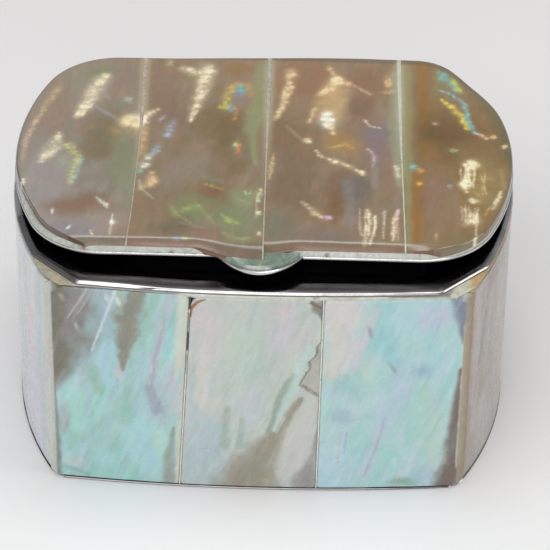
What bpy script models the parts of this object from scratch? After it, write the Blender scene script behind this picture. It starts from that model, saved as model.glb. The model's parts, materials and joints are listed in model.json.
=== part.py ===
"""A small hinged trinket box: a sheet-metal case and lid clad with slabs of mother-of-pearl.

Metres, +Z up. The origin is under the middle of the box, on the surface it stands on. The front is
towards -Y, and the hinge is along the back. The lid stands a little ajar.
"""

import math

import bmesh
import bpy
from mathutils import Matrix, Vector

# Case, driving sizes
BODY_WIDTH = 0.0704          # across the middle of the bulged ends
END_BULGE = 0.0068           # how far the middle of an end stands out past the corners
BODY_DEPTH = 0.0486          # front corners to back face
FRONT_BOW = 0.0015           # how far the middle of the front stands ahead of its corners
BODY_HEIGHT = 0.0357         # underside to the top of the rim
SHELL_THICKNESS = 0.0015     # mother-of-pearl slabs
METAL_WALL = 0.0007          # sheet metal of the walls
FOOT_THICKNESS = 0.0006      # base plate, whose edge shows under the slabs
FLOOR_THICKNESS = 0.0012     # inside floor over the table
RIM_THICKNESS = 0.0008       # flat flange on top of the walls
RIM_ROUNDING = 0.0002        # eased outer edge of the rim
RIM_LIP = 0.0002             # how far the rim's inner edge stands over the hollow
GAP = 0.0003                 # clearance between neighbouring pieces

# Corners of the case
RIM_CORNER_CUT = (0.0036, 0.0058)      # how far the rim's corners are cut back, in X and in Y
FOOT_CORNER_CUT = (0.0012, 0.0012)     # small cut on the corners of the base plate
WALL_CORNER_CUT = (0.0026, 0.0024)     # corner of the wall behind the slabs
CAVITY_CORNER_CUT = (0.0034, 0.0032)   # corner of the hollow
CORNER_FACET_DROP = 0.0019             # how far the ground facet runs down below a corner of the rim

# Slab seams, x at the top and at the bottom of the case
FRONT_SEAMS = ((-0.0093, -0.0110), (0.0091, 0.0086))
BACK_SEAMS = ((-0.0095, -0.0095), (0.0095, 0.0095))
END_SEAM_Y = 0.0

# Lid
LID_SIDE_INSET = 0.0001      # the lid's ends stand in from the case's by this much
LID_FRONT_INSET = 0.0035     # the lid's front edge stands in from the case's front corners
LID_END_RADIUS = 0.040       # plan radius of the rounded ends
LID_CORNER_RADIUS = 0.011    # plan radius where the ends meet the front and back edges
LID_PLATE = 0.0005           # sheet metal of the lid
LID_MARGIN = 0.0005          # metal left bare around the shell strips
STRIP_THICKNESS = 0.0015     # shell strips at their edge
STRIP_ROUNDING = 0.0010      # rounded-over upper edge of the strips
LID_DOME = 0.0005            # how far the middle of the lid stands over its edge
LID_AJAR_DEG = 2.1           # how far the lid stands open

# Lid seams, x at the back edge and at the front edge
LID_SEAMS = ((-0.0180, -0.0182), (0.0001, 0.0006), (0.0189, 0.0200))

# Thumb tab
TAB_WIDTH = 0.0120
TAB_REACH = 0.0037           # ahead of the lid's front edge
TAB_INLAY_MARGIN = 0.0005
TAB_INLAY_THICKNESS = 0.0011

# Hinge
KNUCKLE_RADIUS = 0.0010
PIN_RADIUS = 0.0004
KNUCKLE_LENGTH = 0.0120
HINGE_DROP = 0.0002          # the pin's axis is this far under the rim's top
PIN_END = 0.0004             # how far the pin stands out of the outer knuckles
LEAF_THICKNESS = 0.0006
LEAF_OVERLAP = 0.0004        # how far a leaf runs into what it is soldered to

# Fineness of the curves
ARC_STEPS = 12               # segments along each long curve of the plan
FILLET_STEPS = 6             # segments round each corner of the lid
KNUCKLE_SIDES = 24
TAB_STEPS = 12

# Places worked out from the sizes above
HALF_BODY = BODY_WIDTH / 2
HALF_FRONT = HALF_BODY - END_BULGE
HALF_DEPTH = BODY_DEPTH / 2
LID_WIDTH = BODY_WIDTH - 2 * LID_SIDE_INSET
LID_DEPTH = BODY_DEPTH - LID_FRONT_INSET
END_RADIUS = (HALF_DEPTH ** 2 + END_BULGE ** 2) / (2 * END_BULGE)
END_CENTRE = HALF_BODY - END_RADIUS
WALL_DEPTH = SHELL_THICKNESS + GAP + METAL_WALL
HINGE_BEHIND = GAP + KNUCKLE_RADIUS
BACK_REACH = HINGE_BEHIND + KNUCKLE_RADIUS
MIDDLE_Y = (FRONT_BOW - BACK_REACH) / 2
FRONT_Y = MIDDLE_Y - HALF_DEPTH
BACK_Y = MIDDLE_Y + HALF_DEPTH
HINGE_Y = BACK_Y + HINGE_BEHIND
HINGE_Z = BODY_HEIGHT - HINGE_DROP
LID_BOTTOM = BODY_HEIGHT + GAP
LID_FRONT_Y = BACK_Y - LID_DEPTH
STRIP_BOTTOM = LID_BOTTOM + LID_PLATE + GAP
SLAB_BOTTOM = FOOT_THICKNESS + GAP
SLAB_TOP = BODY_HEIGHT - RIM_THICKNESS - GAP
BORE_RADIUS = PIN_RADIUS + GAP


def clear_scene():
    for existing in list(bpy.data.objects):
        bpy.data.objects.remove(existing, do_unlink=True)


def make_material(name, colour, roughness, metallic):
    material = bpy.data.materials.new(name)
    material.use_nodes = True
    shader = material.node_tree.nodes["Principled BSDF"]
    shader.inputs["Base Color"].default_value = (*colour, 1.0)
    shader.inputs["Roughness"].default_value = roughness
    shader.inputs["Metallic"].default_value = metallic
    return material


def add_object(name, mesh, material, parent=None):
    """An object with its mesh in world coordinates, hung under its parent without moving."""
    piece = bpy.data.objects.new(name, mesh)
    bpy.context.scene.collection.objects.link(piece)
    mesh.materials.append(material)
    if parent is not None:
        piece.parent = parent
        piece.matrix_parent_inverse = Matrix.Translation(parent.location).inverted()
    return piece


def finish_mesh(shape, name, sharp_degrees=30.0):
    bmesh.ops.recalc_face_normals(shape, faces=shape.faces)
    mesh = bpy.data.meshes.new(name)
    shape.to_mesh(mesh)
    shape.free()
    mesh.shade_smooth()
    mesh.set_sharp_from_angle(angle=math.radians(sharp_degrees))
    return mesh


def front_y(x):
    """The bowed front face."""
    return FRONT_Y - FRONT_BOW * (1 - (x / HALF_FRONT) ** 2)


def end_x(y, inset=0.0):
    """Half width of the bulged ends at a depth."""
    reach = END_RADIUS - inset
    return END_CENTRE + math.sqrt(reach ** 2 - (y - MIDDLE_Y) ** 2)


def spread(start, stop, steps):
    return [start + (stop - start) * i / steps for i in range(steps + 1)]


def body_outline(corner_cut):
    """Plan of the case, anticlockwise, with its four corners cut off by corner_cut, in X and in Y."""
    along_x, along_y = corner_cut
    front = [(x, front_y(x)) for x in spread(-HALF_FRONT + along_x, HALF_FRONT - along_x, ARC_STEPS)]
    right = [(end_x(y), y) for y in spread(FRONT_Y + along_y, BACK_Y - along_y, ARC_STEPS)]
    back = [(x, BACK_Y) for x in spread(HALF_FRONT - along_x, -HALF_FRONT + along_x, ARC_STEPS)]
    left = [(-x, y) for x, y in reversed(right)]
    return front + right + back + left


def inset_outline(points, distance):
    """The same anticlockwise outline with every side moved inwards."""
    if distance == 0:
        return list(points)
    count = len(points)
    moved = []
    for i in range(count):
        before, here, after = (Vector(points[(i + k) % count]) for k in (-1, 0, 1))
        first = (here - before).normalized()
        second = (after - here).normalized()
        first_in = Vector((-first.y, first.x))
        second_in = Vector((-second.y, second.x))
        middle = (first_in + second_in).normalized()
        moved.append(tuple(here + middle * (distance / middle.dot(first_in))))
    return moved


def loft(rings):
    """A closed solid from rings of equal length, each a list of points, closed at both ends."""
    shape = bmesh.new()
    loops = [[shape.verts.new(point) for point in ring] for ring in rings]
    for lower, upper in zip(loops, loops[1:]):
        count = len(lower)
        for i in range(count):
            j = (i + 1) % count
            shape.faces.new((lower[i], lower[j], upper[j], upper[i]))
    shape.faces.new(list(reversed(loops[0])))
    shape.faces.new(loops[-1])
    return shape


def at_height(outline, z):
    return [(x, y, z) for x, y in outline]


def block(low, high):
    rings = []
    for z in (low[2], high[2]):
        rings.append([(low[0], low[1], z), (high[0], low[1], z), (high[0], high[1], z), (low[0], high[1], z)])
    return loft(rings)


def rod(x_from, x_to, radius, sides):
    """A round bar along X on the hinge's axis."""
    turns = [2 * math.pi * i / sides for i in range(sides)]
    ends = []
    for x in (x_from, x_to):
        ends.append([(x, HINGE_Y + radius * math.cos(a), HINGE_Z + radius * math.sin(a)) for a in turns])
    return loft(ends)


def combine(piece, shape, operation, name):
    """Join a shape to a piece, or cut it out, and keep the result as plain mesh."""
    cutter = bpy.data.objects.new(name, finish_mesh(shape, name))
    bpy.context.scene.collection.objects.link(cutter)
    cutter.hide_render = True
    cutter.display_type = "WIRE"
    change = piece.modifiers.new(name, "BOOLEAN")
    change.solver = "EXACT"
    change.operation = operation
    change.object = cutter
    bpy.context.view_layer.update()
    seen = piece.evaluated_get(bpy.context.evaluated_depsgraph_get())
    result = bpy.data.meshes.new_from_object(seen)
    old = piece.data
    piece.modifiers.clear()
    piece.data = result
    bpy.data.meshes.remove(old)
    bpy.data.objects.remove(cutter, do_unlink=True)


def trim(shape, point, normal):
    """Cut a solid by a plane, keep the side behind the normal and close the cut."""
    parts = shape.verts[:] + shape.edges[:] + shape.faces[:]
    done = bmesh.ops.bisect_plane(shape, geom=parts, plane_co=point, plane_no=normal, clear_outer=True)
    cut_edges = [item for item in done["geom_cut"] if isinstance(item, bmesh.types.BMEdge)]
    if cut_edges:
        bmesh.ops.holes_fill(shape, edges=cut_edges, sides=0)


def make_case(metal):
    """Floor, walls and rim in one, with the two outer hinge knuckles."""
    foot = body_outline(FOOT_CORNER_CUT)
    wall = inset_outline(body_outline(WALL_CORNER_CUT), SHELL_THICKNESS + GAP)
    rim = body_outline(RIM_CORNER_CUT)
    rim_eased = inset_outline(rim, RIM_ROUNDING)
    opening = inset_outline(rim, WALL_DEPTH + RIM_LIP)
    cavity = inset_outline(body_outline(CAVITY_CORNER_CUT), WALL_DEPTH)
    rim_bottom = BODY_HEIGHT - RIM_THICKNESS
    shape = loft([
        at_height(foot, 0.0),
        at_height(foot, FOOT_THICKNESS),
        at_height(wall, FOOT_THICKNESS),
        at_height(wall, rim_bottom),
        at_height(rim_eased, rim_bottom),
        at_height(rim, rim_bottom + RIM_ROUNDING),
        at_height(rim, BODY_HEIGHT - RIM_ROUNDING),
        at_height(rim_eased, BODY_HEIGHT),
        at_height(opening, BODY_HEIGHT),
        at_height(opening, rim_bottom),
        at_height(cavity, rim_bottom),
        at_height(cavity, FLOOR_THICKNESS),
    ])
    case = add_object("case", finish_mesh(shape, "case"), metal)
    leaf_top = BODY_HEIGHT - RIM_ROUNDING
    for side in (-1, 1):
        inner = KNUCKLE_LENGTH / 2 + GAP
        ends = sorted((side * inner, side * (inner + KNUCKLE_LENGTH)))
        leaf = block((ends[0], BACK_Y - LEAF_OVERLAP, leaf_top - LEAF_THICKNESS), (ends[1], HINGE_Y, leaf_top))
        combine(case, leaf, "UNION", "case_leaf")
        combine(case, rod(ends[0], ends[1], KNUCKLE_RADIUS, KNUCKLE_SIDES), "UNION", "case_knuckle")
    reach = KNUCKLE_LENGTH * 2
    combine(case, rod(-reach, reach, BORE_RADIUS, KNUCKLE_SIDES), "DIFFERENCE", "case_bore")
    finish_smooth(case)
    return case


def finish_smooth(piece, sharp_degrees=30.0):
    piece.data.shade_smooth()
    piece.data.set_sharp_from_angle(angle=math.radians(sharp_degrees))


def corner_facet(front, side):
    """Plane of the ground facet under one corner of the rim: a point on it and its outward normal."""
    along_x, along_y = RIM_CORNER_CUT
    corner_y = FRONT_Y if front else BACK_Y
    x = HALF_FRONT - along_x
    on_side = Vector((side * x, front_y(x) if front else BACK_Y, BODY_HEIGHT))
    end_y = corner_y + along_y if front else corner_y - along_y
    on_end = Vector((side * end_x(end_y), end_y, BODY_HEIGHT))
    tip = Vector((side * HALF_FRONT, corner_y, BODY_HEIGHT - CORNER_FACET_DROP))
    normal = (on_end - on_side).cross(tip - on_side).normalized()
    if normal.z < 0:
        normal.negate()
    return on_side, normal


def long_slab(front, seams, index):
    """One of the three slabs on the front or the back. It runs past the end slabs at the corners."""
    face = front_y if front else (lambda x: BACK_Y)
    inward = SHELL_THICKNESS if front else -SHELL_THICKNESS
    rings = []
    for z in (SLAB_BOTTOM, SLAB_TOP):
        share = z / BODY_HEIGHT
        edges = [bottom + (top - bottom) * share for top, bottom in seams]
        low = -HALF_FRONT if index == 0 else edges[index - 1] + GAP / 2
        high = HALF_FRONT if index == len(seams) else edges[index] - GAP / 2
        outer_x = spread(low, high, ARC_STEPS // 2)
        inner_x = list(outer_x)
        if index == 0:
            inner_x[0] = -end_x(face(low) + inward)
        if index == len(seams):
            inner_x[-1] = end_x(face(high) + inward)
        outer = [(x, face(x), z) for x in outer_x]
        inner = [(x, face(min(max(x, -HALF_FRONT), HALF_FRONT)) + inward, z) for x in reversed(inner_x)]
        ring = outer + inner
        rings.append(ring if front else list(reversed(ring)))
    shape = loft(rings)
    for side in (-1, 1):
        if index == (0 if side < 0 else len(seams)):
            trim(shape, *corner_facet(front, side))
    return shape


def end_slab(side, front):
    """One of the two slabs on a bulged end."""
    if front:
        low, high = FRONT_Y + SHELL_THICKNESS + GAP, MIDDLE_Y + END_SEAM_Y - GAP / 2
    else:
        low, high = MIDDLE_Y + END_SEAM_Y + GAP / 2, BACK_Y - SHELL_THICKNESS - GAP
    depths = spread(low, high, ARC_STEPS // 2)
    outer = [(side * end_x(y), y) for y in depths]
    inner = [(side * end_x(y, SHELL_THICKNESS), y) for y in reversed(depths)]
    outline = outer + inner
    if side < 0:
        outline.reverse()
    shape = loft([at_height(outline, SLAB_BOTTOM), at_height(outline, SLAB_TOP)])
    trim(shape, *corner_facet(front, side))
    return shape


def make_slabs(shell):
    names = ("left", "middle", "right")
    for place, front, seams in (("front", True, FRONT_SEAMS), ("back", False, BACK_SEAMS)):
        for index, name in enumerate(names):
            piece_name = f"{place}_panel_{name}"
            add_object(piece_name, finish_mesh(long_slab(front, seams, index), piece_name), shell)
    for side, name in ((-1, "left"), (1, "right")):
        for front, depth in ((True, "front"), (False, "rear")):
            piece_name = f"end_panel_{name}_{depth}"
            add_object(piece_name, finish_mesh(end_slab(side, front), piece_name), shell)


def lid_outline(tab=False):
    """Plan of the closed lid, anticlockwise from the left end of its front edge."""
    half = LID_DEPTH / 2
    middle_y = BACK_Y - half
    centre_x = LID_WIDTH / 2 - LID_END_RADIUS
    inner = LID_END_RADIUS - LID_CORNER_RADIUS
    drop = half - LID_CORNER_RADIUS
    corner_x = centre_x + math.sqrt(inner ** 2 - drop ** 2)
    meet = math.atan2(drop, corner_x - centre_x)
    fillet = [-math.pi / 2 + (math.pi / 2 - meet) * i / FILLET_STEPS for i in range(FILLET_STEPS + 1)]
    corner = [(corner_x + LID_CORNER_RADIUS * math.cos(a),
               middle_y - drop + LID_CORNER_RADIUS * math.sin(a)) for a in fillet]
    sweep = spread(-meet, meet, ARC_STEPS)[1:-1]
    end = [(centre_x + LID_END_RADIUS * math.cos(a), middle_y + LID_END_RADIUS * math.sin(a)) for a in sweep]
    back_corner = [(x, 2 * middle_y - y) for x, y in reversed(corner)]
    right = corner + end + back_corner
    left = [(-x, y) for x, y in reversed(right)]
    front_edge = tab_edge() if tab else [(x, LID_FRONT_Y) for x in spread(-TAB_WIDTH / 2, TAB_WIDTH / 2, 2)]
    return front_edge + right + left


def tab_edge(margin=0.0):
    """The thumb tab's rounded front, from left to right."""
    half = TAB_WIDTH / 2 - margin
    reach = TAB_REACH - margin
    edge = []
    for i in range(TAB_STEPS + 1):
        x = half * math.sin(math.pi * (i / TAB_STEPS - 0.5))
        edge.append((x, LID_FRONT_Y - reach * (1 - (x / half) ** 2)))
    return edge


def make_lid_plate(metal, hinge):
    outline = lid_outline(tab=True)
    shape = loft([at_height(outline, LID_BOTTOM), at_height(outline, LID_BOTTOM + LID_PLATE)])
    plate = add_object("lid_plate", finish_mesh(shape, "lid_plate"), metal)
    half = KNUCKLE_LENGTH / 2
    leaf = block((-half, BACK_Y - LEAF_OVERLAP, LID_BOTTOM), (half, HINGE_Y, LID_BOTTOM + LID_PLATE))
    combine(plate, leaf, "UNION", "lid_leaf")
    combine(plate, rod(-half, half, KNUCKLE_RADIUS, KNUCKLE_SIDES), "UNION", "lid_knuckle")
    combine(plate, rod(-half * 2, half * 2, BORE_RADIUS, KNUCKLE_SIDES), "DIFFERENCE", "lid_bore")
    finish_smooth(plate)
    plate.parent = hinge
    plate.matrix_parent_inverse = Matrix.Translation(hinge.location).inverted()
    return plate


def lid_cap():
    """The whole shell covering of the lid, before it is parted into strips."""
    outline = inset_outline(lid_outline(), LID_MARGIN)
    top = STRIP_BOTTOM + STRIP_THICKNESS
    rings = [at_height(outline, STRIP_BOTTOM)]
    for i in range(4):
        turn = math.radians(30 * i)
        inset = STRIP_ROUNDING * (1 - math.cos(turn))
        rise = STRIP_ROUNDING * math.sin(turn)
        rings.append(at_height(inset_outline(outline, inset), top - STRIP_ROUNDING + rise))
    crown = rings[-1]
    middle_y = BACK_Y - LID_DEPTH / 2
    for share in (0.92, 0.75, 0.5, 0.25):
        z = top + LID_DOME * (1 - share ** 2)
        rings.append([(x * share, middle_y + (y - middle_y) * share, z) for x, y, _ in crown])
    return loft(rings)


def make_lid_strips(shell, hinge):
    """Four strips across the lid, parted by planes through the seams."""
    front = LID_FRONT_Y
    for index in range(len(LID_SEAMS) + 1):
        shape = lid_cap()
        for seam, side in ((index - 1, -1), (index, 1)):
            if not 0 <= seam < len(LID_SEAMS):
                continue
            at_back, at_front = LID_SEAMS[seam]
            run = Vector((at_front - at_back, front - BACK_Y, 0.0)).normalized()
            normal = Vector((-run.y, run.x, 0.0)) * side
            point = Vector((at_back, BACK_Y, STRIP_BOTTOM)) - normal * (GAP / 2)
            trim(shape, point, normal)
        name = f"lid_strip_{index + 1}"
        add_object(name, finish_mesh(shape, name), shell, hinge)


def make_tab_inlay(shell, hinge):
    """The small piece of shell on the thumb tab."""
    edge = tab_edge(TAB_INLAY_MARGIN)
    back = LID_FRONT_Y + LID_MARGIN - GAP
    outline = edge + [(edge[-1][0], back), (edge[0][0], back)]
    low = STRIP_BOTTOM
    eased = inset_outline(outline, TAB_INLAY_MARGIN / 2)
    shape = loft([
        at_height(outline, low),
        at_height(outline, low + TAB_INLAY_THICKNESS / 2),
        at_height(eased, low + TAB_INLAY_THICKNESS),
    ])
    add_object("tab_inlay", finish_mesh(shape, "tab_inlay"), shell, hinge)


def make_hinge_pin(metal):
    reach = KNUCKLE_LENGTH * 1.5 + GAP + PIN_END
    add_object("hinge_pin", finish_mesh(rod(-reach, reach, PIN_RADIUS, KNUCKLE_SIDES), "hinge_pin"), metal)


def build():
    clear_scene()
    metal = make_material("polished_metal", (0.62, 0.62, 0.64), 0.15, 1.0)
    shell = make_material("body_shell", (0.56, 0.66, 0.66), 0.25, 0.0)
    lid_shell = make_material("lid_shell", (0.36, 0.30, 0.22), 0.22, 0.0)
    pin_metal = make_material("pin_metal", (0.40, 0.39, 0.38), 0.35, 1.0)
    hinge = bpy.data.objects.new("lid_hinge", None)
    hinge.location = (0.0, HINGE_Y, HINGE_Z)
    bpy.context.scene.collection.objects.link(hinge)
    make_case(metal)
    make_slabs(shell)
    make_lid_plate(metal, hinge)
    make_lid_strips(lid_shell, hinge)
    make_tab_inlay(lid_shell, hinge)
    make_hinge_pin(pin_metal)
    hinge.rotation_euler = (-math.radians(LID_AJAR_DEG), 0.0, 0.0)
    bpy.context.view_layer.update()


build()
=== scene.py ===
"""The looks of a small hinged trinket box clad with mother-of-pearl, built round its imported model.

The shapes are worked out in millimetres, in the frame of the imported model: +Z up, the front towards -Y.
Pieces of the lid are worked out with the lid closed, and then turned open by the joint's own angle.
"""

import json
import math

import bmesh
import bpy
import numpy as np
from mathutils import Matrix, Vector


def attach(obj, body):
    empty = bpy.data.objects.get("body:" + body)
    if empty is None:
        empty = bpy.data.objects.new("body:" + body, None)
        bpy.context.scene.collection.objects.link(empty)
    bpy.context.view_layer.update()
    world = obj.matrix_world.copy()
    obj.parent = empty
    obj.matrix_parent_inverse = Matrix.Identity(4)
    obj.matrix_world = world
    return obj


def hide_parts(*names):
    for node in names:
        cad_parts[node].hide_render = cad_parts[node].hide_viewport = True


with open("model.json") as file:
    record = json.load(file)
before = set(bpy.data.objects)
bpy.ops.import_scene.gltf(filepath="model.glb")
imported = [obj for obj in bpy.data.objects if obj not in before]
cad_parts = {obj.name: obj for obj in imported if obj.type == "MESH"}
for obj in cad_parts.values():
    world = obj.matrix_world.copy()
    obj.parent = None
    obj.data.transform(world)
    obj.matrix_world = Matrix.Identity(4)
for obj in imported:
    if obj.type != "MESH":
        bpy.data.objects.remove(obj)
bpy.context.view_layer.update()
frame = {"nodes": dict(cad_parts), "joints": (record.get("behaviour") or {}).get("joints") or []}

MM = 0.001

# Case
BODY_WIDTH = 70.4
END_BULGE = 6.8
BODY_DEPTH = 48.6
FRONT_BOW = 1.5
BODY_HEIGHT = 35.7
SHELL_THICKNESS = 1.5
METAL_WALL = 0.7
FOOT_THICKNESS = 0.3
FLOOR_THICKNESS = 1.2
RIM_THICKNESS = 0.8
RIM_CHAMFER = 0.19
RIM_SET_BACK = 0.1
RIM_LIP = 0.2
RIM_CORNER_CUT = (3.6, 5.8)
FOOT_CORNER_CUT = (1.2, 1.2)
WALL_CORNER_CUT = (2.6, 2.4)
CAVITY_CORNER_CUT = (3.4, 3.2)
CORNER_FACET_DROP = 1.9
GAP = 0.3

# Lid
LID_WIDTH = 70.2
LID_DEPTH = 45.1
LID_END_RADIUS = 40.0
LID_CORNER_RADIUS = 11.0
LID_PLATE = 0.5
LID_MARGIN = 0.5
LID_SIDE_MARGIN = 0.12
LID_BACK_SKEW = 1.25
CORNER_MARGINS = (0.75, 0.1)
BACK_RISE = 0.42
CORNER_PLACE = (29.5, 20.0)
CORNER_REACH = (4.6, 6.5)
CORNER_DRAW = (0.8, 1.3)
STRIP_THICKNESS = 1.5
LID_DOME = 0.5
TAB_WIDTH = 12.0
TAB_REACH = 3.7
TAB_INLAY_MARGIN = 0.5

# Hinge
KNUCKLE_RADIUS = 1.0
PIN_RADIUS = 0.4
KNUCKLE_LENGTH = 12.0
HINGE_DROP = 0.2
LEAF_THICKNESS = 0.6
LEAF_DROP = 0.2
LEAF_OVERLAP = 0.4

# Places worked out from the sizes above
HALF_BODY = BODY_WIDTH / 2
HALF_FRONT = HALF_BODY - END_BULGE
HALF_DEPTH = BODY_DEPTH / 2
END_RADIUS = (HALF_DEPTH ** 2 + END_BULGE ** 2) / (2 * END_BULGE)
END_CENTRE = HALF_BODY - END_RADIUS
WALL_DEPTH = SHELL_THICKNESS + GAP + METAL_WALL
MIDDLE_Y = (FRONT_BOW - GAP - 2 * KNUCKLE_RADIUS) / 2
FRONT_Y = MIDDLE_Y - HALF_DEPTH
BACK_Y = MIDDLE_Y + HALF_DEPTH
HINGE_Y = BACK_Y + GAP + KNUCKLE_RADIUS
HINGE_Z = BODY_HEIGHT - HINGE_DROP
LID_BOTTOM = BODY_HEIGHT + GAP
LID_FRONT_Y = BACK_Y - LID_DEPTH
LID_TOP = LID_BOTTOM + LID_PLATE
STRIP_BOTTOM = LID_TOP + 0.05
STRIP_TOP = LID_TOP + GAP + STRIP_THICKNESS
SHELL_FRONT_Y = LID_FRONT_Y + LID_MARGIN
SHELL_BACK_Y = BACK_Y - LID_SIDE_MARGIN
RIM_BOTTOM = BODY_HEIGHT - RIM_THICKNESS
SLAB_BOTTOM = FOOT_THICKNESS + 0.06
SLAB_TOP = RIM_BOTTOM - GAP
LEFT_SLAB_RISE = 0.35
LEFT_RIM_RISE = 0.22
LEFT_RIM_PLACE = (-8.0, -24.0)
LEFT_RIM_ROUND = 0.25
LEFT_ROUND_PLACE = (-12.0, -20.0)
LEFT_SLAB_PLACE = (-9.4, -10.8)
FRONT_RUN_OUT = 16.0
AJAR = math.radians(frame["joints"][0]["range_deg"][0])

# The lid's plan: wide arcs for its ends, met by smaller arcs at its four corners
LID_HALF_DEPTH = LID_DEPTH / 2
LID_MIDDLE_Y = BACK_Y - LID_HALF_DEPTH
END_ARC_X = LID_WIDTH / 2 - LID_END_RADIUS
CORNER_ARC_Y = LID_HALF_DEPTH - LID_CORNER_RADIUS
CORNER_ARC_X = END_ARC_X + math.sqrt((LID_END_RADIUS - LID_CORNER_RADIUS) ** 2 - CORNER_ARC_Y ** 2)
ARCS_MEET = math.atan2(CORNER_ARC_Y, CORNER_ARC_X - END_ARC_X)

# Fineness of the meshes
FINE = 0.2
COARSE = 0.4
EDGE_STEPS = (0.0, 0.03, 0.08, 0.16, 0.28, 0.45)
OUTLINE_STEPS = 72
END_STEPS = 60
CORNER_STEPS = 28
TAB_STEPS = 40
ROD_SIDES = 48

# Size of a table of random numbers, which repeats beyond it
LATTICE = 64

# How dark the case's metal is painted, from 0 to 1: all of it painted shade but WORN_DARK, which is wear
FLANGE_DARK = 0.89
LEFT_RIM_PAINTED_SHADE = 0.6
WORN_DARK = 0.3
RIM_SIDE_DARK = 0.75
FOOT_DARK = 0.73
FOOT_BRIGHTER = 0.45


def clamp(values, low=0.0, high=1.0):
    """The values, held between two limits."""
    return np.minimum(np.maximum(values, low), high)


def smoothstep(low, high, values):
    """From 0 at the first limit to 1 at the second, easing in and out."""
    t = clamp((values - low) / (high - low))
    return t * t * (3 - 2 * t)


def lattice_noise(x, y, seed):
    """Smooth noise from -1 to 1 with one bump to each unit."""
    table = np.random.RandomState(seed).rand(LATTICE, LATTICE)
    xi = np.floor(x).astype(int)
    yi = np.floor(y).astype(int)
    fx = x - xi
    fy = y - yi
    fx = fx * fx * (3 - 2 * fx)
    fy = fy * fy * (3 - 2 * fy)
    corners = [table[(xi + i) % LATTICE, (yi + j) % LATTICE] for i in (0, 1) for j in (0, 1)]
    low = corners[0] + (corners[1] - corners[0]) * fy
    high = corners[2] + (corners[3] - corners[2]) * fy
    return (low + (high - low) * fx) * 2 - 1


def fractal(x, y, seed, octaves=3):
    """Noise of several finenesses laid over one another."""
    total = 0.0
    weight = 0.0
    for k in range(octaves):
        share = 0.5 ** k
        total = total + lattice_noise(x * 2 ** k + 17.3 * k, y * 2 ** k - 9.1 * k, seed + k) * share
        weight += share
    return total / weight


def turned(x, y, degrees):
    """Coordinates across and along a direction that leans to the right of straight up."""
    a = math.radians(degrees)
    return x * math.cos(a) - y * math.sin(a), x * math.sin(a) + y * math.cos(a)


def ribbon_distance(x, y, points):
    """Distance from a line through the points, as a share of the half width given with each point."""
    best = np.full(len(x), 1e9)
    for (ax, ay, aw), (bx, by, bw) in zip(points, points[1:]):
        dx, dy = bx - ax, by - ay
        t = clamp(((x - ax) * dx + (y - ay) * dy) / (dx * dx + dy * dy))
        d = np.hypot(x - ax - t * dx, y - ay - t * dy) / (aw + (bw - aw) * t)
        best = np.minimum(best, d)
    return best


def patch_distance(x, y, centre_x, centre_y, radius_x, radius_y, degrees=0.0):
    across, along = turned(x - centre_x, y - centre_y, degrees)
    return np.hypot(across / radius_x, along / radius_y)


def inside_polygon(x, y, points):
    inside = np.zeros(len(x), bool)
    for (ax, ay), (bx, by) in zip(points, points[1:] + points[:1]):
        if ay == by:
            continue
        crosses = ((ay > y) != (by > y)) & (x < (bx - ax) * (y - ay) / (by - ay) + ax)
        inside ^= crosses
    return inside


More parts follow.
